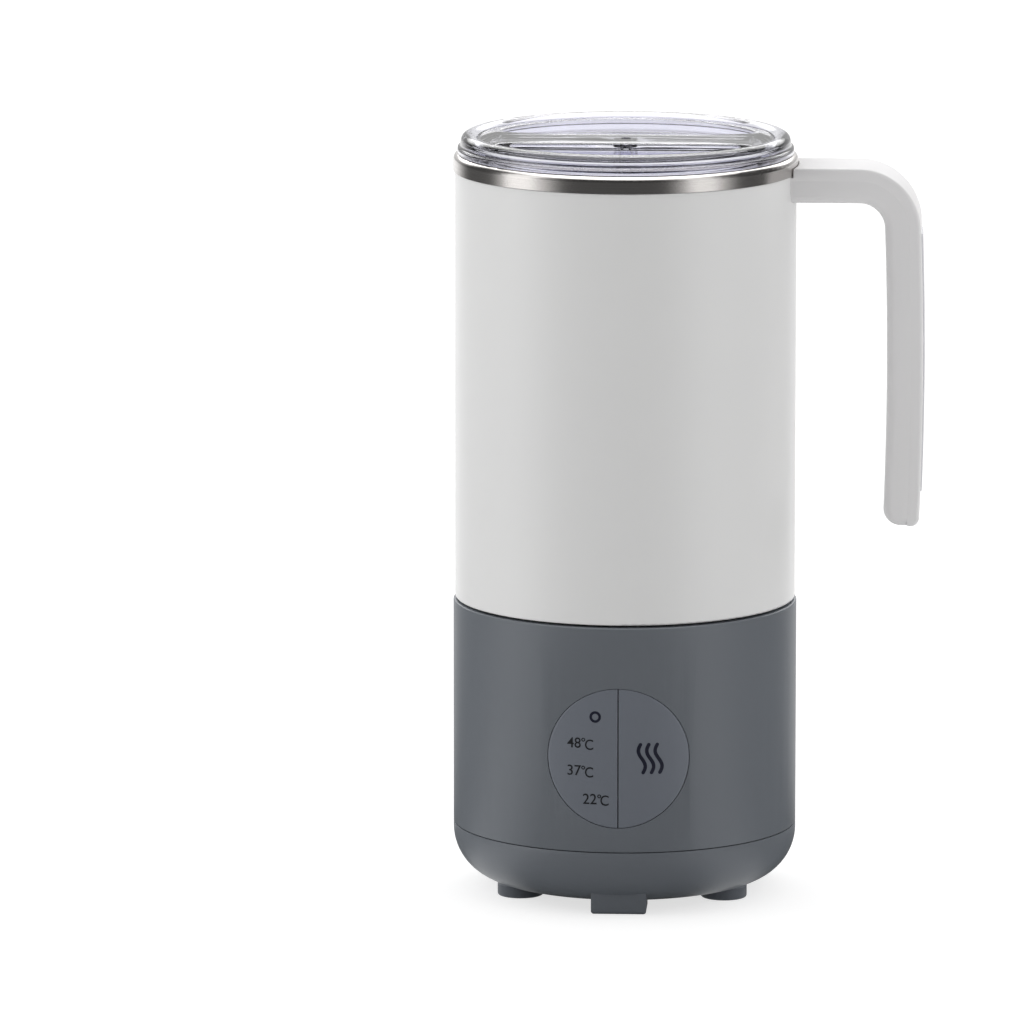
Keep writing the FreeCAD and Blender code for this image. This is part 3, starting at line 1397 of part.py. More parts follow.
def handle_cover():
    body = new_body("handle_cover")
    top, under, back, end = handle_levels()
    inset = d.handle_cover_depth
    corner = d.handle_outer_corner
    start = shell_radius - d.handle_root
    foot = end + d.handle_end_outer
    outline = [
        (start, top - inset), (back - corner, top - inset),
        (back - inset, top - corner, -(corner - inset)),
        (back - inset, foot, -(bow_radius() - inset)), (back - inset, end),
        (back - d.handle_end_outer, end), (back, foot, d.handle_end_outer),
        (back, top - corner, bow_radius()), (back - corner, top, corner), (start, top)]
    sideways(body, d.handle_half_width, [outline])
    rounded(body, d.handle_cover_edge, outer_contour)
    sideways(body, d.strip_half_width, [strip_outline()], "Pocket")
    trim_handle_root(body)


def outer_contour(edge):
    # long edges along the back of the handle and the top of its arm
    top, under, back, end = handle_levels()
    box = edge.BoundBox
    on_top = box.ZMax > float(top) - 0.01 and box.XLength > float(d.handle_inner_corner)
    on_back = box.XMax > float(back) - 0.01
    return on_side(edge, float(d.handle_half_width)) and (on_top or on_back)


def strip_outline():
    # band along the bowed back of the handle
    top, under, back, end = handle_levels()
    low = end + d.handle_end_outer
    high = top - d.handle_outer_corner
    middle = (low + high) / 2
    outside = bow_radius() + d.strip_proud
    inside = bow_radius() - d.strip_sink
    centre = handle_reach - bow_radius()

    def reach(radius, level):
        return centre + height_over(radius, level - middle)

    return [(reach(inside, d.strip_low), d.strip_low, -inside), (reach(outside, d.strip_low), d.strip_low),
            (reach(outside, d.strip_high), d.strip_high, outside),
            (reach(inside, d.strip_high), d.strip_high)]


def handle_strip():
    body = new_body("handle_strip")
    sideways(body, d.strip_half_width, [strip_outline()])


def handle_bracket():
    body = new_body("handle_bracket")
    outer = shell_inner
    low = handle_screw_height() - d.bracket_half_height
    high = handle_screw_height() + d.bracket_half_height
    turned(body, ring(outer - d.bracket_thickness, outer, low, high))
    # keep only the part behind the handle
    wide = d.bracket_half_width
    far = d.body_radius
    sunk(body, low, high, [[
        (-far, -far), (far, -far), (far, -wide), (0, -wide),
        (0, wide), (far, wide), (far, far), (-far, far)]])
    across_wall(body, 0, outer + cut_past, d.handle_screw_radius + d.fit_gap)


def handle_screws():
    body = new_body("handle_screws")
    plate = shell_inner - d.bracket_thickness
    head_out = height_over(plate, d.handle_screw_offset + d.handle_screw_head)
    across_wall(body, head_out - d.handle_screw_head_height, head_out, d.handle_screw_head, "Pad")
    across_wall(body, head_out, shell_radius + d.handle_screw_grip, d.handle_screw_radius, "Pad")


base_cover()
rubber_feet()
cover_screws()
base_housing()
deck()
deck_seal()
heater_plate()
heater_seal()
heating_element()
heater_screws()
magnet_window()
window_seal()
temperature_sensor()
thermal_cutout()
motor_plate()
motor_plate_screws()
motor_damper()
motor_screws()
motor_can()
motor_end_cap()
field_magnets()
motor_shaft()
armature()
magnet_carrier()
drive_magnets()
main_board()
main_board_screws()
board_parts()
control_frame()
control_board()
control_frame_screws()
button_switches()
status_lamps()
button("temperature_button", -1)
button("start_button", 1)
plunger("temperature_plunger", -1)
plunger("start_plunger", 1)
power_inlet()
inlet_pins()
jug_shell()
inner_pot()
rim_gasket()
jug_base_ring()
jug_screws()
pot_seal()
spindle_pin()
whisk_sleeve()
whisk_wheel()
whisk_magnets()
whisk_plate()
lid_shell()
lid_seal()
handle_body()
handle_cover()
handle_strip()
handle_bracket()
handle_screws()

doc.recompute()

for thing in doc.Objects:
    if "Invalid" in thing.State or "Error" in thing.State:
        raise RuntimeError("%s failed: %s" % (thing.Label, thing.State))
    if thing.TypeId in ("PartDesign::Pocket", "PartDesign::Groove"):
        if thing.Shape.Volume > thing.BaseFeature.Shape.Volume - 0.01:
            raise RuntimeError("%s cuts nothing" % thing.Label)
for thing in pieces:
    if thing.Shape.isNull() or not thing.Shape.isValid():
        raise RuntimeError("%s has no valid shape" % thing.Label)

os.makedirs("parts", exist_ok=True)
for thing in pieces:
    thing.Shape.exportStep("parts/%s.step" % thing.Label)
print(len(pieces), "pieces written")
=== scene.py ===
import json
import math

import bmesh
import bpy
import numpy as np
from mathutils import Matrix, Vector


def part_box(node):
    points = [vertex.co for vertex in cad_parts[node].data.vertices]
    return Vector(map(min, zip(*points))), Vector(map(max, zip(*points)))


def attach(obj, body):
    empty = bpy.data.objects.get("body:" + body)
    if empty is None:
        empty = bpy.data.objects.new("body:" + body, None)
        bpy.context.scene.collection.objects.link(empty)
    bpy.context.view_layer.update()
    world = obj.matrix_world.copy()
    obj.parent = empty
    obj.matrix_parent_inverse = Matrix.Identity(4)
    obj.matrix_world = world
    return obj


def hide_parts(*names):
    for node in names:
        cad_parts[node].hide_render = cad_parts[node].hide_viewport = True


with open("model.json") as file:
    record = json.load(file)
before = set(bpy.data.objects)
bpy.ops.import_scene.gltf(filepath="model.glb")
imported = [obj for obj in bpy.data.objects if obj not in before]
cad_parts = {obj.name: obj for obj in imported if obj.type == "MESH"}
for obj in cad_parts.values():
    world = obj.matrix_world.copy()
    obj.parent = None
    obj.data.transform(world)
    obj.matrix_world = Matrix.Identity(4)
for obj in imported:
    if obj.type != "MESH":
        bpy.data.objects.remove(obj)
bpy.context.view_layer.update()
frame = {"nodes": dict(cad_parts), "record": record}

mm = 0.001
weldDistance = 1e-6
sliverLength = 1e-7
housingLow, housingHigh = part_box("base_housing")
axisX = (housingLow[0] + housingHigh[0]) / 2
bodyRadius = (housingHigh[0] - housingLow[0]) / 2 / mm

# meshes: every surface is a grid of points in millimetres about the jug's axis


def makeObject(name, points, faces, smooth=True):
    mesh = bpy.data.meshes.new(name)
    place = np.asarray(points, float).reshape(-1, 3) * mm + np.array([axisX, 0, 0])
    mesh.from_pydata(place.tolist(), [], faces)
    mesh.polygons.foreach_set("use_smooth", [smooth] * len(mesh.polygons))
    mesh.update()
    thing = bpy.data.objects.new(name, mesh)
    bpy.context.scene.collection.objects.link(thing)
    return thing


def gridFaces(rows, columns, closeRows, closeColumns):
    # quads between neighbouring rows and columns of a grid of points
    i, j = np.meshgrid(np.arange(rows if closeRows else rows - 1),
                       np.arange(columns if closeColumns else columns - 1), indexing="ij")
    a = i * columns + j
    b = ((i + 1) % rows) * columns + j
    c = ((i + 1) % rows) * columns + (j + 1) % columns
    e = i * columns + (j + 1) % columns
    return np.stack([a, b, c, e], -1).reshape(-1, 4).tolist()


def clean(thing):
    # merges doubles at seams and poles and turns the faces outwards
    work = bmesh.new()
    work.from_mesh(thing.data)
    bmesh.ops.remove_doubles(work, verts=work.verts, dist=weldDistance)
    bmesh.ops.dissolve_degenerate(work, edges=work.edges, dist=sliverLength)
    bmesh.ops.recalc_face_normals(work, faces=work.faces)
    work.to_mesh(thing.data)
    work.free()
    thing.data.update()
    return thing


def roundedPath(corners, closed, steps, hold=0.35):
    # a polyline whose corners (x, y, radius) become arcs; two more points hold each straight stretch
    count = len(corners)
    xy = np.array([c[:2] for c in corners], float)
    radius = [c[2] if len(c) > 2 else 0.0 for c in corners]
    path = []
    for i in range(count):
        here = xy[i]
        if not closed and i in (0, count - 1) or radius[i] == 0:
            path.append(here)
            continue
        before = xy[i - 1] - here
        after = xy[(i + 1) % count] - here
        before /= np.linalg.norm(before)
        after /= np.linalg.norm(after)
        half = math.acos(np.clip(before @ after, -1, 1)) / 2
        reach = radius[i] / math.tan(half)
        centre = here + (before + after) / np.linalg.norm(before + after) * radius[i] / math.sin(half)
        start = here + before * reach - centre
        end = here + after * reach - centre
        angle = math.pi - 2 * half
        for k in range(steps + 1):
            f = k / steps
            path.append(centre + (math.sin((1 - f) * angle) * start + math.sin(f * angle) * end)
                        / math.sin(angle))
    held = []
    path = np.array(path)
    for i in range(len(path) if closed else len(path) - 1):
        a = path[i]
        b = path[(i + 1) % len(path)]
        length = np.linalg.norm(b - a)
        held.append(a)
        if length > 4 * hold:
            held += [a + (b - a) * hold / length, b - (b - a) * hold / length]
    if not closed:
        held.append(path[-1])
    return np.array(held)


def turnedPiece(name, corners, segments, steps):
    # an outline (radius, height) from axis to axis, carried round the axis
    outline = roundedPath(corners, False, steps)
    angle = np.linspace(0, 2 * math.pi, segments, endpoint=False)
    x = outline[:, 0][:, None] * np.cos(angle)
    y = outline[:, 0][:, None] * np.sin(angle)
    z = np.repeat(outline[:, 1][:, None], segments, axis=1)
    faces = gridFaces(len(outline), segments, False, True)
    return clean(makeObject(name, np.stack([x, y, z], -1), faces))


def sweptPiece(name, rings):
    # rings of points joined side by side, with both ends closed by a flat face
    rings = np.array(rings)
    rows, columns = rings.shape[:2]
    faces = gridFaces(rows, columns, False, True)
    faces.append(list(range(columns)))
    faces.append(list(range((rows - 1) * columns, rows * columns)))
    return clean(makeObject(name, rings, faces))


def combined(thing, cutter, operation="DIFFERENCE"):
    # takes a closed piece out of another, or adds it
    tool = thing.modifiers.new("cut", "BOOLEAN")
    tool.operation = operation
    tool.solver = "EXACT"
    tool.object = cutter
    applyModifiers(thing)
    bpy.data.objects.remove(cutter)


def applyModifiers(thing):
    graph = bpy.context.evaluated_depsgraph_get()
    mesh = bpy.data.meshes.new_from_object(thing.evaluated_get(graph))
    thing.modifiers.clear()
    thing.data = mesh


# materials: shader maths written as expressions


class Wire:
    # a node's output that can be added, multiplied and so on

    def __init__(self, finish, socket):
        self.finish = finish
        self.socket = socket

    def maths(self, operation, a, b=None):
        inputs = {0: a} if b is None else {0: a, 1: b}
        return self.finish.make("ShaderNodeMath", {"operation": operation}, inputs)

    def __add__(self, other):
        return self.maths("ADD", self, other)

    def __sub__(self, other):
        return self.maths("SUBTRACT", self, other)

    def __rsub__(self, other):
        return self.maths("SUBTRACT", other, self)

    def __mul__(self, other):
        return self.maths("MULTIPLY", self, other)

    def distance(self, other):
        return self.maths("ABSOLUTE", self - other)

    __radd__ = __add__
    __rmul__ = __mul__


class Finish:
    # one material: its node tree, its main shader and a place on the object

    def __init__(self, name, **fixed):
        self.material = bpy.data.materials.new(name)
        self.material.use_nodes = True
        self.tree = self.material.node_tree
        self.shader = self.tree.nodes["Principled BSDF"]
        for socket, value in fixed.items():
            self.shader.inputs[socket.replace("_", " ")].default_value = value

    def make(self, kind, settings=None, inputs=None, output=0):
        node = self.tree.nodes.new(kind)
        for key, value in (settings or {}).items():
            setattr(node, key, value)
        for key, value in (inputs or {}).items():
            self.feed(node.inputs[key], value)
        return Wire(self, node.outputs[output])

    def feed(self, socket, value):
        if isinstance(value, Wire):
            self.tree.links.new(value.socket, socket)
        else:
            socket.default_value = value

    def show(self, **inputs):
        for key, value in inputs.items():
            self.feed(self.shader.inputs[key.replace("_", " ")], value)

    def place(self):
        # object coordinates in metres, moved so that the jug's axis is in the middle
        coordinates = self.make("ShaderNodeTexCoord", output="Object")
        return self.make("ShaderNodeMapping", {}, {"Vector": coordinates, "Location": (-axisX, 0, 0)})

    def parts(self, vector):
        node = self.tree.nodes.new("ShaderNodeSeparateXYZ")
        self.feed(node.inputs[0], vector)
        return [Wire(self, output) for output in node.outputs]

    def noise(self, vector, scale, detail=2, roughness=0.5):
        return self.make("ShaderNodeTexNoise", {}, {"Vector": vector, "Scale": scale, "Detail": detail,
                                                    "Roughness": roughness})

    def blend(self, factor, first, second):
        return self.make("ShaderNodeMix", {"data_type": "RGBA"},
                         {0: factor, 6: (*first, 1) if isinstance(first, tuple) else first,
                          7: (*second, 1) if isinstance(second, tuple) else second}, 2)

    def bump(self, height, strength, distance):
        return self.make("ShaderNodeBump", {}, {"Height": height, "Strength": strength, "Distance": distance})


def rgb(red, green, blue):
    # colours are written as screen values from 0 to 255
    def linear(value):
        value /= 255
        return value / 12.92 if value <= 0.04045 else ((value + 0.055) / 1.055) ** 2.4
    return (linear(red), linear(green), linear(blue))


def mouldedPlastic(name, colour, deep, roughness, grain, grainDepth, **fixed):
    # fine moulded grain, faint flow marks in colour and gloss
    finish = Finish(name, **fixed)
    place = finish.place()
    flow = finish.noise(place, 14, 3)
    fine = finish.noise(place, grain, 2, 0.6)
    uneven = flow * 0.08 + fine * 0.06 + (roughness - 0.07)
    finish.show(Base_Color=finish.blend(flow, colour, deep), Roughness=uneven,
                Normal=finish.bump(fine, 0.35, grainDepth))
    return finish.material


def siliconeRubber(name, colour, deep):
    # matt rubber with a fine dust
    finish = Finish(name, Sheen_Weight=0.15, Specular_IOR_Level=0.35)
    place = finish.place()
    dust = finish.noise(place, 260, 4, 0.65)
    finish.show(Base_Color=finish.blend(dust, colour, deep), Roughness=dust * 0.15 + 0.5,
                Normal=finish.bump(dust, 0.25, 0.00008))
    return finish.material


def brushedSteel(name, light, dark, roughness):
    # fine lines round the axis, as a turned and brushed rim has, and upright light and dark streaks by the
    # angle round it, partly random tone and partly a painted reflection
    finish = Finish(name, Metallic=1.0)
    place = finish.place()
    x, y, z = finish.parts(place)
    angle = finish.make("ShaderNodeMath", {"operation": "ARCTAN2"}, {0: y, 1: x})
    lines = finish.make("ShaderNodeCombineXYZ", {}, {0: angle * 0.9, 1: z * 5200, 2: 0.0})
    fine = finish.noise(lines, 1.0, 3, 0.7)
    # painted reflection: noise stretched round the axis gives upright light and dark streaks that stand in
    # for the studio's reflection in the steel, placed at random
    paintedStreaks = finish.make("ShaderNodeCombineXYZ", {}, {0: angle * 1.7, 1: z * 12, 2: 3.0})
    uneven = finish.noise(paintedStreaks, 1.0, 2)
    shade = uneven * 0.5 + fine * 0.5
    # the base colour carries the real fine lines and the painted reflection streaks
    finish.show(Base_Color=finish.blend(shade, light, dark), Roughness=fine * 0.16 + (roughness - 0.08),
                Normal=finish.bump(fine, 0.3, 0.00004))
    return finish.material


def plainMetal(name, light, dark, roughness):
    # metal with a fine grain that runs no particular way
    finish = Finish(name, Metallic=1.0)
    place = finish.place()
    grain = finish.noise(place, 900, 3, 0.6)
    finish.show(Base_Color=finish.blend(grain, light, dark), Roughness=grain * 0.2 + roughness - 0.1,
                Normal=finish.bump(grain, 0.2, 0.00005))
    return finish.material


def clearPlastic(name):
    # polished clear plastic with a faint haze
    finish = Finish(name, Transmission_Weight=1.0, IOR=1.49, Specular_IOR_Level=0.8)
    place = finish.place()
    haze = finish.noise(place, 60, 2)
    finish.show(Base_Color=finish.blend(haze, rgb(241, 241, 247), rgb(235, 235, 243)),
                Roughness=haze * 0.02 + 0.015)
    return finish.material


def circuitBoard(name):
    # green lacquer over narrow tracks
    finish = Finish(name, Coat_Weight=0.4)
    place = finish.place()
    tracks = finish.make("ShaderNodeTexBrick", {"offset": 0.37, "squash": 0.6},
                         {"Vector": place, "Scale": 260.0, "Mortar Size": 0.06, "Color1": (0, 0, 0, 1),
                          "Color2": (0, 0, 0, 1), "Mortar": (1, 1, 1, 1)})
    speckle = finish.noise(place, 700, 2)
    finish.show(Base_Color=finish.blend(tracks, rgb(18, 84, 52), rgb(60, 130, 84)),
                Roughness=speckle * 0.2 + 0.3, Normal=finish.bump(tracks, 0.3, 0.00005))
    return finish.material


def printedInk(name, colour, deep):
    finish = Finish(name)
    grain = finish.noise(finish.place(), 1400, 2)
    finish.show(Base_Color=finish.blend(grain, colour, deep), Roughness=grain * 0.1 + 0.4,
                Normal=finish.bump(grain, 0.1, 0.00002))
    return finish.material


whitePlastic = mouldedPlastic("whitePlastic", rgb(233, 233, 232), rgb(229, 229, 229), 0.36, 2600, 0.00003)
handlePlastic = mouldedPlastic("handlePlastic", rgb(236, 235, 235), rgb(232, 231, 232), 0.5, 2600, 0.00003,
                               Specular_IOR_Level=0.1)
slatePlastic = mouldedPlastic("slatePlastic", rgb(106, 111, 117), rgb(102, 107, 114), 0.42, 2400, 0.00006)
buttonPlastic = mouldedPlastic("buttonPlastic", rgb(112, 117, 126), rgb(109, 114, 123), 0.36, 2600, 0.00003)
darkPlastic = mouldedPlastic("darkPlastic", rgb(48, 50, 54), rgb(42, 44, 48), 0.45, 1800, 0.00006)
palePlastic = mouldedPlastic("palePlastic", rgb(216, 216, 213), rgb(208, 208, 205), 0.4, 1800, 0.00005)
lampPlastic = mouldedPlastic("lampPlastic", rgb(222, 224, 228), rgb(212, 214, 220), 0.25, 1500, 0.00003)
stripPlastic = mouldedPlastic("stripPlastic", rgb(222, 222, 225), rgb(214, 214, 218), 0.55, 1500, 0.00008)
greySilicone = siliconeRubber("greySilicone", rgb(176, 178, 180), rgb(164, 166, 169))
footRubber = siliconeRubber("footRubber", rgb(96, 101, 108), rgb(84, 89, 96))
rimSteel = brushedSteel("rimSteel", rgb(222, 219, 216), rgb(176, 172, 170), 0.2)
screwSteel = plainMetal("screwSteel", rgb(196, 196, 198), rgb(160, 160, 164), 0.3)
castAluminium = plainMetal("castAluminium", rgb(152, 153, 156), rgb(134, 135, 139), 0.5)
platedSteel = plainMetal("platedSteel", rgb(168, 170, 172), rgb(150, 152, 155), 0.35)
magnetNickel = plainMetal("magnetNickel", rgb(150, 149, 147), rgb(132, 131, 130), 0.25)
boardGreen = circuitBoard("boardGreen")
lidPlastic = clearPlastic("lidPlastic")
navyInk = printedInk("navyInk", rgb(18, 22, 46), rgb(14, 18, 40))
blackInk = printedInk("blackInk", rgb(20, 22, 28), rgb(15, 17, 22))
print("materials made:", len(bpy.data.materials))

slotFinish = {
    "jug_white": whitePlastic, "base_grey": slatePlastic, "button_grey": buttonPlastic,
    "clear_lid": lidPlastic, "pot_steel": rimSteel, "fastener_steel": screwSteel,
    "heater_metal": castAluminium, "motor_metal": platedSteel, "magnet_metal": magnetNickel,
    "grey_silicone": greySilicone, "foot_rubber": footRubber, "strip_rubber": stripPlastic,
    "dark_plastic": darkPlastic, "whisk_plastic": palePlastic, "circuit_board": boardGreen,
    "lamp_plastic": lampPlastic, "plunger_plastic": palePlastic}
slotOf = {entry["node"]: entry["material_slot"] for entry in frame["record"]["subparts"]}
for node, thing in frame["nodes"].items():
    finish = slotFinish[slotOf[node]]
    for place in thing.material_slots:
        place.material = finish
    if not thing.material_slots:
        thing.data.materials.append(finish)


def dress(thing, material, body, replaced=()):
    # gives a new piece its finish and its body, and hides the nodes that it stands for
    thing.data.materials.clear()
    thing.data.materials.append(material)
    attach(thing, body)
    if replaced:
        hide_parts(*replaced)
    return thing


flatAngle = math.radians(0.4)
hardAngle = math.radians(38)
bodyOf = {node: body for body, nodes in frame["record"]["behaviour"]["bodies"].items() for node in nodes}


def softened(node, width, material=None):
    # a copy of a solid's mesh with its hard edges rounded, in the solid's place
    source = frame["nodes"][node]
    work = bmesh.new()
    work.from_mesh(source.data)
    work.transform(source.matrix_world)
    bmesh.ops.remove_doubles(work, verts=work.verts, dist=2 * weldDistance)
    bmesh.ops.dissolve_limit(work, angle_limit=flatAngle, verts=work.verts, edges=work.edges)
    mesh = bpy.data.meshes.new(node + "Soft")
    work.to_mesh(mesh)
    work.free()
    for polygon in mesh.polygons:
        polygon.use_smooth = True
    thing = bpy.data.objects.new(node + "Soft", mesh)
    bpy.context.scene.collection.objects.link(thing)
    bevel = thing.modifiers.new("edges", "BEVEL")
    bevel.width = width * mm
    bevel.segments = 3
    bevel.limit_method = "ANGLE"
    bevel.angle_limit = hardAngle
    bevel.harden_normals = True
    bevel.use_clamp_overlap = True
    applyModifiers(thing)
    return dress(thing, material or slotFinish[slotOf[node]], bodyOf[node], [node])


# how wide the rounded edges of each softened solid are
edgeWidths = {"handle_body": 0.22, "handle_cover": 0.22, "handle_strip": 0.2, "base_housing": 0.3,
              "base_cover": 0.22, "power_inlet": 0.35, "transformer": 0.5, "heater_relay": 0.4,
              "main_board": 0.15, "control_frame": 0.3, "whisk_wheel": 0.3, "jug_base_ring": 0.3}
for node, width in edgeWidths.items():
    softened(node, width, material=handlePlastic if node in ("handle_body", "handle_cover") else None)
print("edges softened:", len(edgeWidths))

# lid: a turned dish with a rounded ring, two finger wells and a hollow bar between them

# heights above the table, radii from the axis and widths
lidSizes = {"top": 220.3, "crest": 221.8, "rim": 216.2, "flangeTop": 218.0, "flange": 48.8, "crestAt": 45.5,
            "crestHalf": 2.4, "wall": 2.2, "floorTop": 209.0, "floorLow": 207.0, "skirtLow": 203.5,
            "plug": 42.2, "plugWall": 2.6, "grooveHigh": 206.6, "grooveLow": 204.6, "groove": 41.0,
            "well": 40.6, "barHalf": 11.0, "wellCorner": 5.0, "wellFillet": 1.9, "wellEdge": 0.7,
            "hollow": 37.0, "hollowCorner": 1.5, "stem": 3.5, "bore": 1.5}


def wellRing(side, outset, steps=10):
    # a finger well seen from above: a chord along the bar, two rounded corners and the wide arc
    size = lidSizes
    corner = size["wellCorner"] + outset
    middleY = size["barHalf"] + size["wellCorner"]
    middleX = math.sqrt((size["well"] - size["wellCorner"]) ** 2 - middleY ** 2)
    reach = size["well"] + outset
    lean = math.atan2(middleY, middleX)
    points = []
    for turn in np.linspace(-math.pi / 2, lean, steps):
        points.append((middleX + corner * math.cos(turn), middleY + corner * math.sin(turn)))
    for turn in np.linspace(lean, math.pi - lean, 6 * steps)[1:-1]:
        points.append((reach * math.cos(turn), reach * math.sin(turn)))
    for turn in np.linspace(math.pi - lean, math.pi * 1.5, steps):
        points.append((-middleX + corner * math.cos(turn), middleY + corner * math.sin(turn)))
    for x in np.linspace(-middleX, middleX, 4 * steps)[1:-1]:
        points.append((x, middleY - corner))
    return np.array(points) * np.array([1, side])


def wellCutter(side):
    # one finger well: a filleted floor, upright walls and a rounded edge at the top
    size = lidSizes
    fillet = size["wellFillet"]
    edge = size["wellEdge"]
    levels = [(-fillet * (1 - math.sin(t)), size["floorTop"] + fillet * (1 - math.cos(t)))
              for t in np.linspace(0, math.pi / 2, 7)]
    levels.append((0, (size["floorTop"] + size["top"]) / 2))
    levels += [(edge * (1 - math.cos(t)), size["top"] - edge * (1 - math.sin(t)))
               for t in np.linspace(0, math.pi / 2, 6)]
    levels.append((edge * 1.02, size["crest"] + 2))
    rings = []
    for outset, height in levels:
        flat = wellRing(side, outset)
        rings.append(np.column_stack([flat, np.full(len(flat), height)]))
    return sweptPiece("wellCutter", rings)


def hollowCutter():
    # the space under the bar, rounded like a moulded pocket
    size = lidSizes
    inside = size["barHalf"] - size["wall"]
    roof = size["top"] - size["wall"]
    rings = []
    for inset, height in ((0, size["floorLow"] - 1), (0, roof - 0.8), (0.25, roof - 0.25), (0.8, roof)):
        a, b, corner = size["hollow"] - inset, inside - inset, size["hollowCorner"]
        flat = roundedPath([(-a, -b, corner), (a, -b, corner), (a, b, corner), (-a, b, corner)], True, 5)
        rings.append(np.column_stack([flat, np.full(len(flat), height)]))
    return sweptPiece("hollowCutter", rings)


def post(name, radius, low, high, edge):
    # a short upright cylinder on the axis
    return turnedPiece(name, [(0, low), (radius, low, edge), (radius, high, edge), (0, high)], 64, 4)


def lidPiece():
    # the turned dish less its wells, hollow and bore, with a stem on the axis
    size = lidSizes
    rim, crest, half, at = size["rim"], size["crest"], size["crestHalf"], size["crestAt"]
    core = half - size["wall"] / 2
    inner = size["plug"] - size["plugWall"]
    outline = [
        (0, size["floorLow"]), (inner, size["floorLow"], 0.4), (inner, size["skirtLow"], 0.5),
        (size["plug"], size["skirtLow"], 0.8), (size["plug"], size["grooveLow"], 0.15),
        (size["groove"], size["grooveLow"]), (size["groove"], size["grooveHigh"]),
        (size["plug"], size["grooveHigh"], 0.15), (size["plug"], rim, 0.2), (at - core, rim, 0.3),
        (at - core, crest - size["wall"], 0.9), (at + core, crest - size["wall"], 0.9), (at + core, rim, 0.3),
        (size["flange"], rim, 0.3), (size["flange"], size["flangeTop"], 0.7),
        (at + half, size["flangeTop"], 0.7), (at + half, crest, 2.2), (at - half, crest, 2.2),
        (at - half - 0.2, size["top"], 0.5), (0, size["top"])]
    lid = turnedPiece("clearLid", outline, 256, 7)
    for side in (1, -1):
        combined(lid, wellCutter(side))
    combined(lid, hollowCutter())
    combined(lid, post("stem", size["stem"], size["floorLow"], size["top"] - 0.9, 0.3), "UNION")
    combined(lid, post("bore", size["bore"], size["floorLow"] - 1, size["top"] + 1, 0.2))
    for polygon in lid.data.polygons:
        polygon.use_smooth = True
    lid.data.set_sharp_from_angle(angle=math.radians(34))
    return lid


dress(lidPiece(), lidPlastic, "lid", ["lid_shell"])
print("lid made")

# buttons: half-round faces bent like the wall, with rounded edges and a rim behind the wall

panelSizes = {"centre": 47.1, "radius": 20.37, "split": 0.13, "rim": 22.4, "rimFront": 47.3, "rimBack": 46.1,
              "edge": 0.32, "stemAt": 9.0, "stemRadius": 2.0, "stemEnd": 42.4}


def halfRoundRing(side, radius, inset, steps=40):
    # outline of one half of the panel: the round edge, then the straight edge along the split
    x0 = panelSizes["split"] + inset
    outer = radius - inset
    turn = math.acos(x0 / outer)
    arc = np.linspace(-turn, turn, steps)
    curve = np.stack([outer * np.cos(arc), outer * np.sin(arc)], -1)
    up = np.linspace(1, -1, steps)[1:-1] * outer * math.sin(turn)
    edge = np.stack([np.full(len(up), x0), up], -1)
    ring = np.concatenate([curve, edge])
    return ring * np.array([side, 1])


def bentRing(ring, wall, sink=0.0):
    # lays a flat outline on the wall's cylinder, seen from the front
    x, z = ring[:, 0], ring[:, 1] + panelSizes["centre"]
    y = -np.sqrt(np.maximum(wall ** 2 - x ** 2, 0)) + sink
    return np.stack([x, y, z], -1)


def buttonPiece(name, side):
    # rings from the middle of the face over its rounded edge, the rim behind the wall and the stem
    size = panelSizes
    edge = size["edge"]
    middle = np.array([side * size["radius"] / 2, 0])
    rings = []
    for share in (0.02, 0.3, 0.55, 0.75, 0.9, 0.97):
        flat = halfRoundRing(side, size["radius"], edge)
        rings.append(bentRing(middle + (flat - middle) * share, bodyRadius))
    for turn in np.radians((0, 22, 45, 68, 90)):
        inset = edge * (1 - math.sin(turn))
        sink = edge * (1 - math.cos(turn))
        rings.append(bentRing(halfRoundRing(side, size["radius"], inset), bodyRadius, sink))
    rings.append(bentRing(halfRoundRing(side, size["radius"], 0), size["rimFront"], 0))
    rings.append(bentRing(halfRoundRing(side, size["rim"], 0), size["rimFront"], 0))
    rings.append(bentRing(halfRoundRing(side, size["rim"], 0), size["rimBack"], 0))
    stem = halfRoundRing(side, size["radius"], 0)
    around = np.arctan2(stem[:, 1], stem[:, 0] - side * size["stemAt"])
    circle = np.stack([side * size["stemAt"] + size["stemRadius"] * np.cos(around),
                       size["stemRadius"] * np.sin(around)], -1)
    rings.append(bentRing(circle, size["rimBack"], 0))
    x, z = circle[:, 0], circle[:, 1] + size["centre"]
    rings.append(np.stack([x, np.full(len(x), -size["stemEnd"]), z], -1))
    return sweptPiece(name, rings)


# printed marks on the panel, laid on the buttons' bent faces

markSizes = {"lift": 0.03, "digits": (3.95, 3.05), "letter": (2.4, 3.05), "dot": 0.42, "dotLine": 0.28,
             "fontSize": 1.4, "fontWeight": 0.02, "ringRadius": 1.3, "ringLine": 0.72, "ringTall": 1.02,
             "ringAt": (-6.6, 59.25), "waves": 3, "waveHeight": 4.55, "waveLine": 1.0, "waveSwing": 0.85,
             "waveTurns": 1.06, "waveLean": 0.3, "wavePitch": 2.4, "waveAt": (9.25, 47.15)}
# each temperature: its digits, then the middle of the digits, of the degree sign and of the letter
temperatures = (("48", (-12.75, 51.5), (-10.05, 52.45), (-8.35, 51.05)),
                ("37", (-12.65, 43.4), (-10.05, 44.25), (-8.35, 42.95)),
                ("22", (-8.15, 35.15), (-5.4, 36.0), (-3.85, 34.8)))


def layOnPanel(name, flat, faces):
    # flat marks (x, z) become thin raised prints on the panel
    x, z = flat[:, 0], flat[:, 1]
    y = -np.sqrt((bodyRadius + markSizes["lift"]) ** 2 - x ** 2)
    return makeObject(name, np.stack([x, y, z], -1), faces, False)


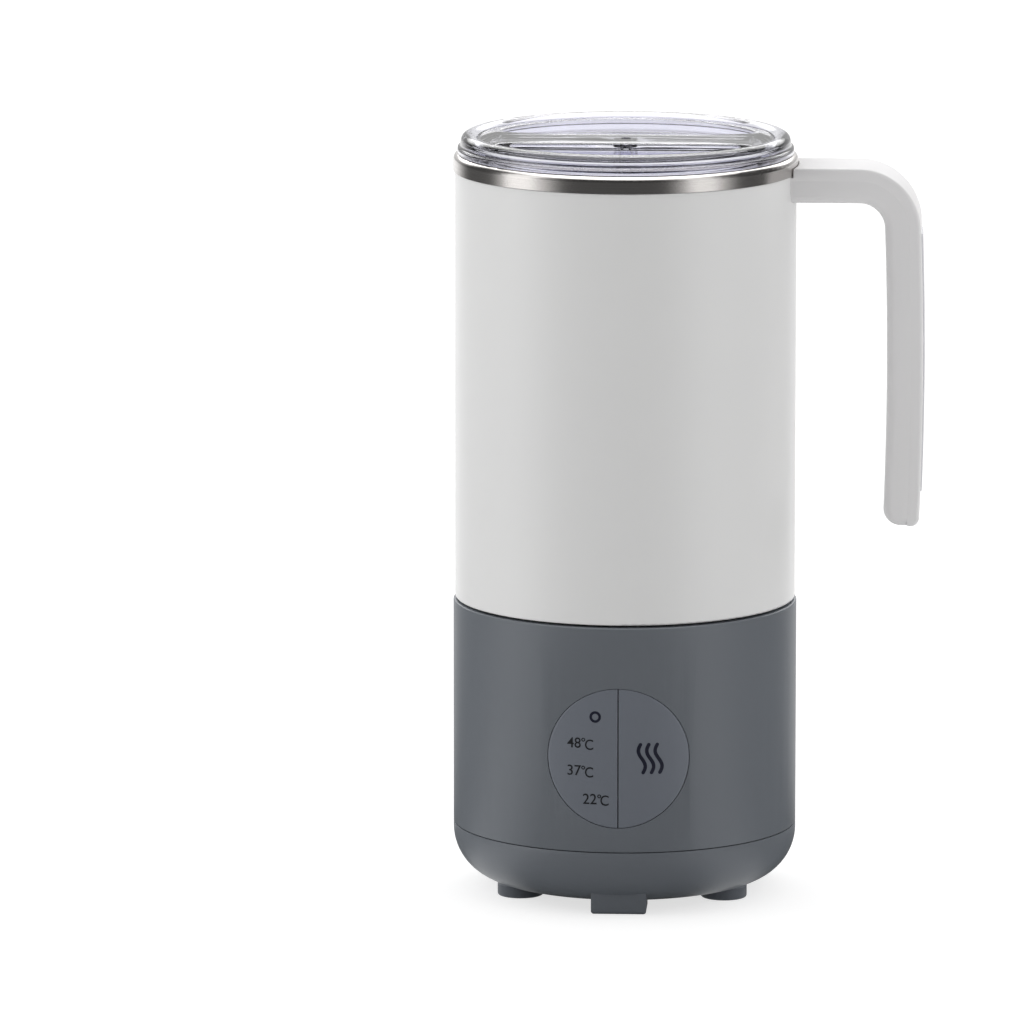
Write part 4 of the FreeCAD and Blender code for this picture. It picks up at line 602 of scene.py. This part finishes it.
def textMark(name, words, middle, size):
    # letters as a filled flat curve, made a mesh, fitted to a width and height and laid on the panel
    curve = bpy.data.curves.new(name, "FONT")
    curve.body = words
    curve.size = size[1] * markSizes["fontSize"]
    curve.offset = markSizes["fontWeight"]
    curve.resolution_u = 6
    letters = bpy.data.objects.new(name + "Flat", curve)
    bpy.context.scene.collection.objects.link(letters)
    graph = bpy.context.evaluated_depsgraph_get()
    mesh = bpy.data.meshes.new_from_object(letters.evaluated_get(graph))
    flat = np.array([v.co[:2] for v in mesh.vertices])
    low, high = flat.min(0), flat.max(0)
    flat = (flat - (low + high) / 2) / (high - low) * np.array(size)
    faces = [list(p.vertices) for p in mesh.polygons]
    bpy.data.objects.remove(letters)
    return layOnPanel(name, flat + np.array(middle), faces)


def strokeMark(name, middle, widths):
    # a band of changing width along a middle line
    step = np.gradient(middle, axis=0)
    normal = np.stack([-step[:, 1], step[:, 0]], -1) / np.linalg.norm(step, axis=1)[:, None]
    half = np.asarray(widths)[:, None] / 2
    points = np.concatenate([middle + normal * half, middle - normal * half])
    count = len(middle)
    faces = [[i, i + 1, count + i + 1, count + i] for i in range(count - 1)]
    return layOnPanel(name, points, faces)


def ringMark(name, centre, radius, line):
    turn = np.linspace(0, 2 * math.pi, 49)
    middle = np.stack([radius * np.cos(turn), radius * markSizes["ringTall"] * np.sin(turn)], -1)
    return strokeMark(name, middle + np.array(centre), np.full(len(turn), line))


def steamMark(name, offset):
    # one wavy steam line of even width with round ends
    size = markSizes
    cap = size["waveLine"] / 2 / size["waveHeight"]
    quarter = np.linspace(0, math.pi / 2, 8)
    t = np.concatenate([-1 + cap * (1 - np.cos(quarter)), np.linspace(cap - 1, 1 - cap, 41)[1:-1],
                        1 - cap * (1 - np.sin(quarter))])
    x = -size["waveSwing"] * np.sin(t * math.pi * size["waveTurns"]) - size["waveLean"] * t
    middle = np.stack([x + size["waveAt"][0] + offset, t * size["waveHeight"] + size["waveAt"][1]], -1)
    past = np.clip((np.abs(t) - (1 - cap)) / cap, 0, 1)
    return strokeMark(name, middle, size["waveLine"] * np.sqrt(1 - past ** 2) + 0.004)


dress(buttonPiece("temperatureButton", -1), buttonPlastic, "temperature_key",
      ["temperature_button"])
dress(buttonPiece("startButton", 1), buttonPlastic, "start_key", ["start_button"])
for words, digits, dot, letter in temperatures:
    for mark in (textMark("digits" + words, words, digits, markSizes["digits"]),
                 ringMark("degree" + words, dot, markSizes["dot"], markSizes["dotLine"]),
                 textMark("letter" + words, "C", letter, markSizes["letter"])):
        dress(mark, blackInk, "temperature_key")
dress(ringMark("ringMark", markSizes["ringAt"], markSizes["ringRadius"], markSizes["ringLine"]), navyInk,
      "temperature_key")
for number in range(markSizes["waves"]):
    mark = steamMark("steamMark%d" % (number + 1), (number - 1) * markSizes["wavePitch"])
    dress(mark, navyInk, "start_key")
print("buttons and marks made")

# floor, lamps and camera

studio = {"floorSize": 12.0, "sky": 1.3, "skyBack": 0.88, "skyLeft": 0.07, "skySides": 0.32, "skyTop": 0.8,
          "paperGlow": 0.68, "paperSeen": 0.5, "paperHidden": 0.8}
# what gloss sees: bright panels by angle from the front (to the right, half width, soft edge, strength)
glossPanels = ((-1.2, 0.34, 0.2, 0.98), (0.98, 0.3, 0.2, 0.85))
# and round them a dark room with a bright back, a bright roof and a bright sheet above the back
glossRoom = {"dark": 0.1, "backFrom": 2.45, "backSoft": 0.25, "back": 1.15, "roofFrom": 0.6, "roofTo": 0.85,
             "roof": 2.4, "sheetLow": 0.2, "sheetHigh": 0.32, "sheetFrom": 2.2, "sheetTo": 2.7, "sheet": 2.8,
             "overhead": 0.55}
# soft lamps: place in metres about the axis, width and height, power
softLamps = {"leftSoftbox": ((-1.2, -0.38, 0.5), (0.6, 1.2), 2.2),
             "rightSoftbox": ((0.98, -0.72, 0.5), (0.5, 1.2), 1.3),
             "topSoftbox": ((0.0, 0.25, 1.4), (1.0, 0.8), 0.3)}
lampAim = Vector((axisX, 0, 0.11))
cameraPlace = {"distance": 3.0, "height": 0.643861, "pitch": 0.176, "azimuth": math.radians(2.2),
               "focalPixels": 10459.8, "axisPixel": 626.88, "framePixels": 1024, "sensor": 36, "farthest": 50}


def raysOf(finish, *names):
    # 1 for rays of these kinds
    node = finish.tree.nodes.new("ShaderNodeLightPath")
    kinds = [Wire(finish, node.outputs[name]) for name in names]
    total = kinds[0]
    for kind in kinds[1:]:
        total = total.maths("MAXIMUM", total, kind)
    return total


def smoothStep(finish, value, low, high):
    return finish.make("ShaderNodeMapRange", {"interpolation_type": "SMOOTHSTEP"},
                       {"Value": value, "From Min": low, "From Max": high})


def glossStrength(finish, x, y):
    # what gloss sees round the object, by the angle from the front
    angle = x.maths("ARCTAN2", x, y * -1.0)
    total = smoothStep(finish, angle.distance(0.0), glossRoom["backFrom"] - glossRoom["backSoft"],
                       glossRoom["backFrom"] + glossRoom["backSoft"]) * glossRoom["back"] + glossRoom["dark"]
    for middle, half, soft, strength in glossPanels:
        away = smoothStep(finish, angle.distance(middle), half - soft, half + soft)
        total = total + (1.0 - away) * strength
    return total


def makeFloor():
    # white paper that glows a little for the camera and shows its panels to gloss
    half = studio["floorSize"] / 2 / mm
    floor = makeObject("floor", [(-half, -half, 0), (half, -half, 0), (half, half, 0), (-half, half, 0)],
                       [[0, 1, 2, 3]], False)
    finish = Finish("floorPaper")
    tree = finish.tree
    tree.nodes.remove(finish.shader)
    plain = finish.make("ShaderNodeBsdfDiffuse", {}, {"Color": (*[studio["paperHidden"]] * 3, 1)})
    faint = finish.make("ShaderNodeBsdfDiffuse", {}, {"Color": (*[studio["paperSeen"]] * 3, 1)})
    glow = finish.make("ShaderNodeEmission", {}, {"Color": (1, 1, 1, 1), "Strength": studio["paperGlow"]})
    lit = finish.make("ShaderNodeAddShader", {}, {0: faint, 1: glow})
    x, y, z = finish.parts(finish.place())
    panels = finish.make("ShaderNodeEmission", {},
                         {"Color": (1, 1, 1, 1), "Strength": glossStrength(finish, x, y)})
    seen = finish.make("ShaderNodeMixShader", {}, {0: raysOf(finish, "Is Camera Ray", "Is Transmission Ray"),
                                                   1: plain, 2: lit})
    both = finish.make("ShaderNodeMixShader", {}, {0: raysOf(finish, "Is Glossy Ray"), 1: seen, 2: panels})
    finish.feed(tree.nodes["Material Output"].inputs["Surface"], both)
    floor.data.materials.append(finish.material)


def makeWorld():
    # soft light from all round, weaker from the camera's side; gloss sees panels, the camera sees white
    world = bpy.data.worlds.new("studio")
    bpy.context.scene.world = world
    world.use_nodes = True
    sky = Finish.__new__(Finish)
    sky.tree = world.node_tree
    background = world.node_tree.nodes["Background"]
    background.inputs["Color"].default_value = (1, 1, 1, 1)
    x, y, z = sky.parts(sky.make("ShaderNodeTexCoord", output="Generated"))
    soft = y * studio["skyBack"] - x * studio["skyLeft"]
    soft = soft + x.distance(0.0) * studio["skySides"] + studio["sky"]
    soft = soft - z.maths("MAXIMUM", z, 0.0) * studio["skyTop"]
    roof = smoothStep(sky, z, glossRoom["roofFrom"], glossRoom["roofTo"]) * glossRoom["roof"]
    behind = smoothStep(sky, x.maths("ARCTAN2", x, y * -1.0).distance(0.0), glossRoom["sheetFrom"],
                        glossRoom["sheetTo"])
    sheet = behind * smoothStep(sky, z, glossRoom["sheetLow"], glossRoom["sheetHigh"]) * glossRoom["sheet"]
    gloss = glossStrength(sky, x, y) * glossRoom["overhead"] + roof + sheet
    white = raysOf(sky, "Is Camera Ray", "Is Transmission Ray")
    mirror = raysOf(sky, "Is Glossy Ray") * (1.0 - white)
    strength = white + mirror * gloss + (1.0 - white) * (1.0 - mirror) * soft
    sky.feed(background.inputs["Strength"], strength)


def areaLamp(name, place, size, power):
    # a soft lamp turned to the middle of the object
    lamp = bpy.data.lights.new(name, "AREA")
    lamp.shape = "RECTANGLE"
    lamp.size, lamp.size_y = size
    lamp.energy = power
    thing = bpy.data.objects.new(name, lamp)
    thing.location = Vector(place) + Vector((axisX, 0, 0))
    thing.rotation_euler = (lampAim - thing.location).to_track_quat("-Z", "Y").to_euler()
    bpy.context.scene.collection.objects.link(thing)


def makeCamera():
    # from the front, a little to the right and above, with the axis off the middle of the picture
    size = cameraPlace
    camera = bpy.data.cameras.new("camera")
    camera.sensor_width = size["sensor"]
    camera.lens = size["sensor"] * size["focalPixels"] / size["framePixels"]
    camera.clip_end = size["farthest"]
    viewer = bpy.data.objects.new("camera", camera)
    pan = math.atan((size["axisPixel"] - size["framePixels"] / 2) / size["focalPixels"])
    turn = size["azimuth"]
    viewer.location = (axisX + size["distance"] * math.sin(turn), -size["distance"] * math.cos(turn),
                       size["height"])
    viewer.rotation_euler = (math.pi / 2 - size["pitch"], 0, turn + pan)
    bpy.context.scene.collection.objects.link(viewer)
    bpy.context.scene.camera = viewer


makeFloor()
makeWorld()
for name, (place, size, power) in softLamps.items():
    areaLamp(name, place, size, power)
makeCamera()
bpy.context.scene.view_settings.view_transform = "Standard"
print("stage ready")
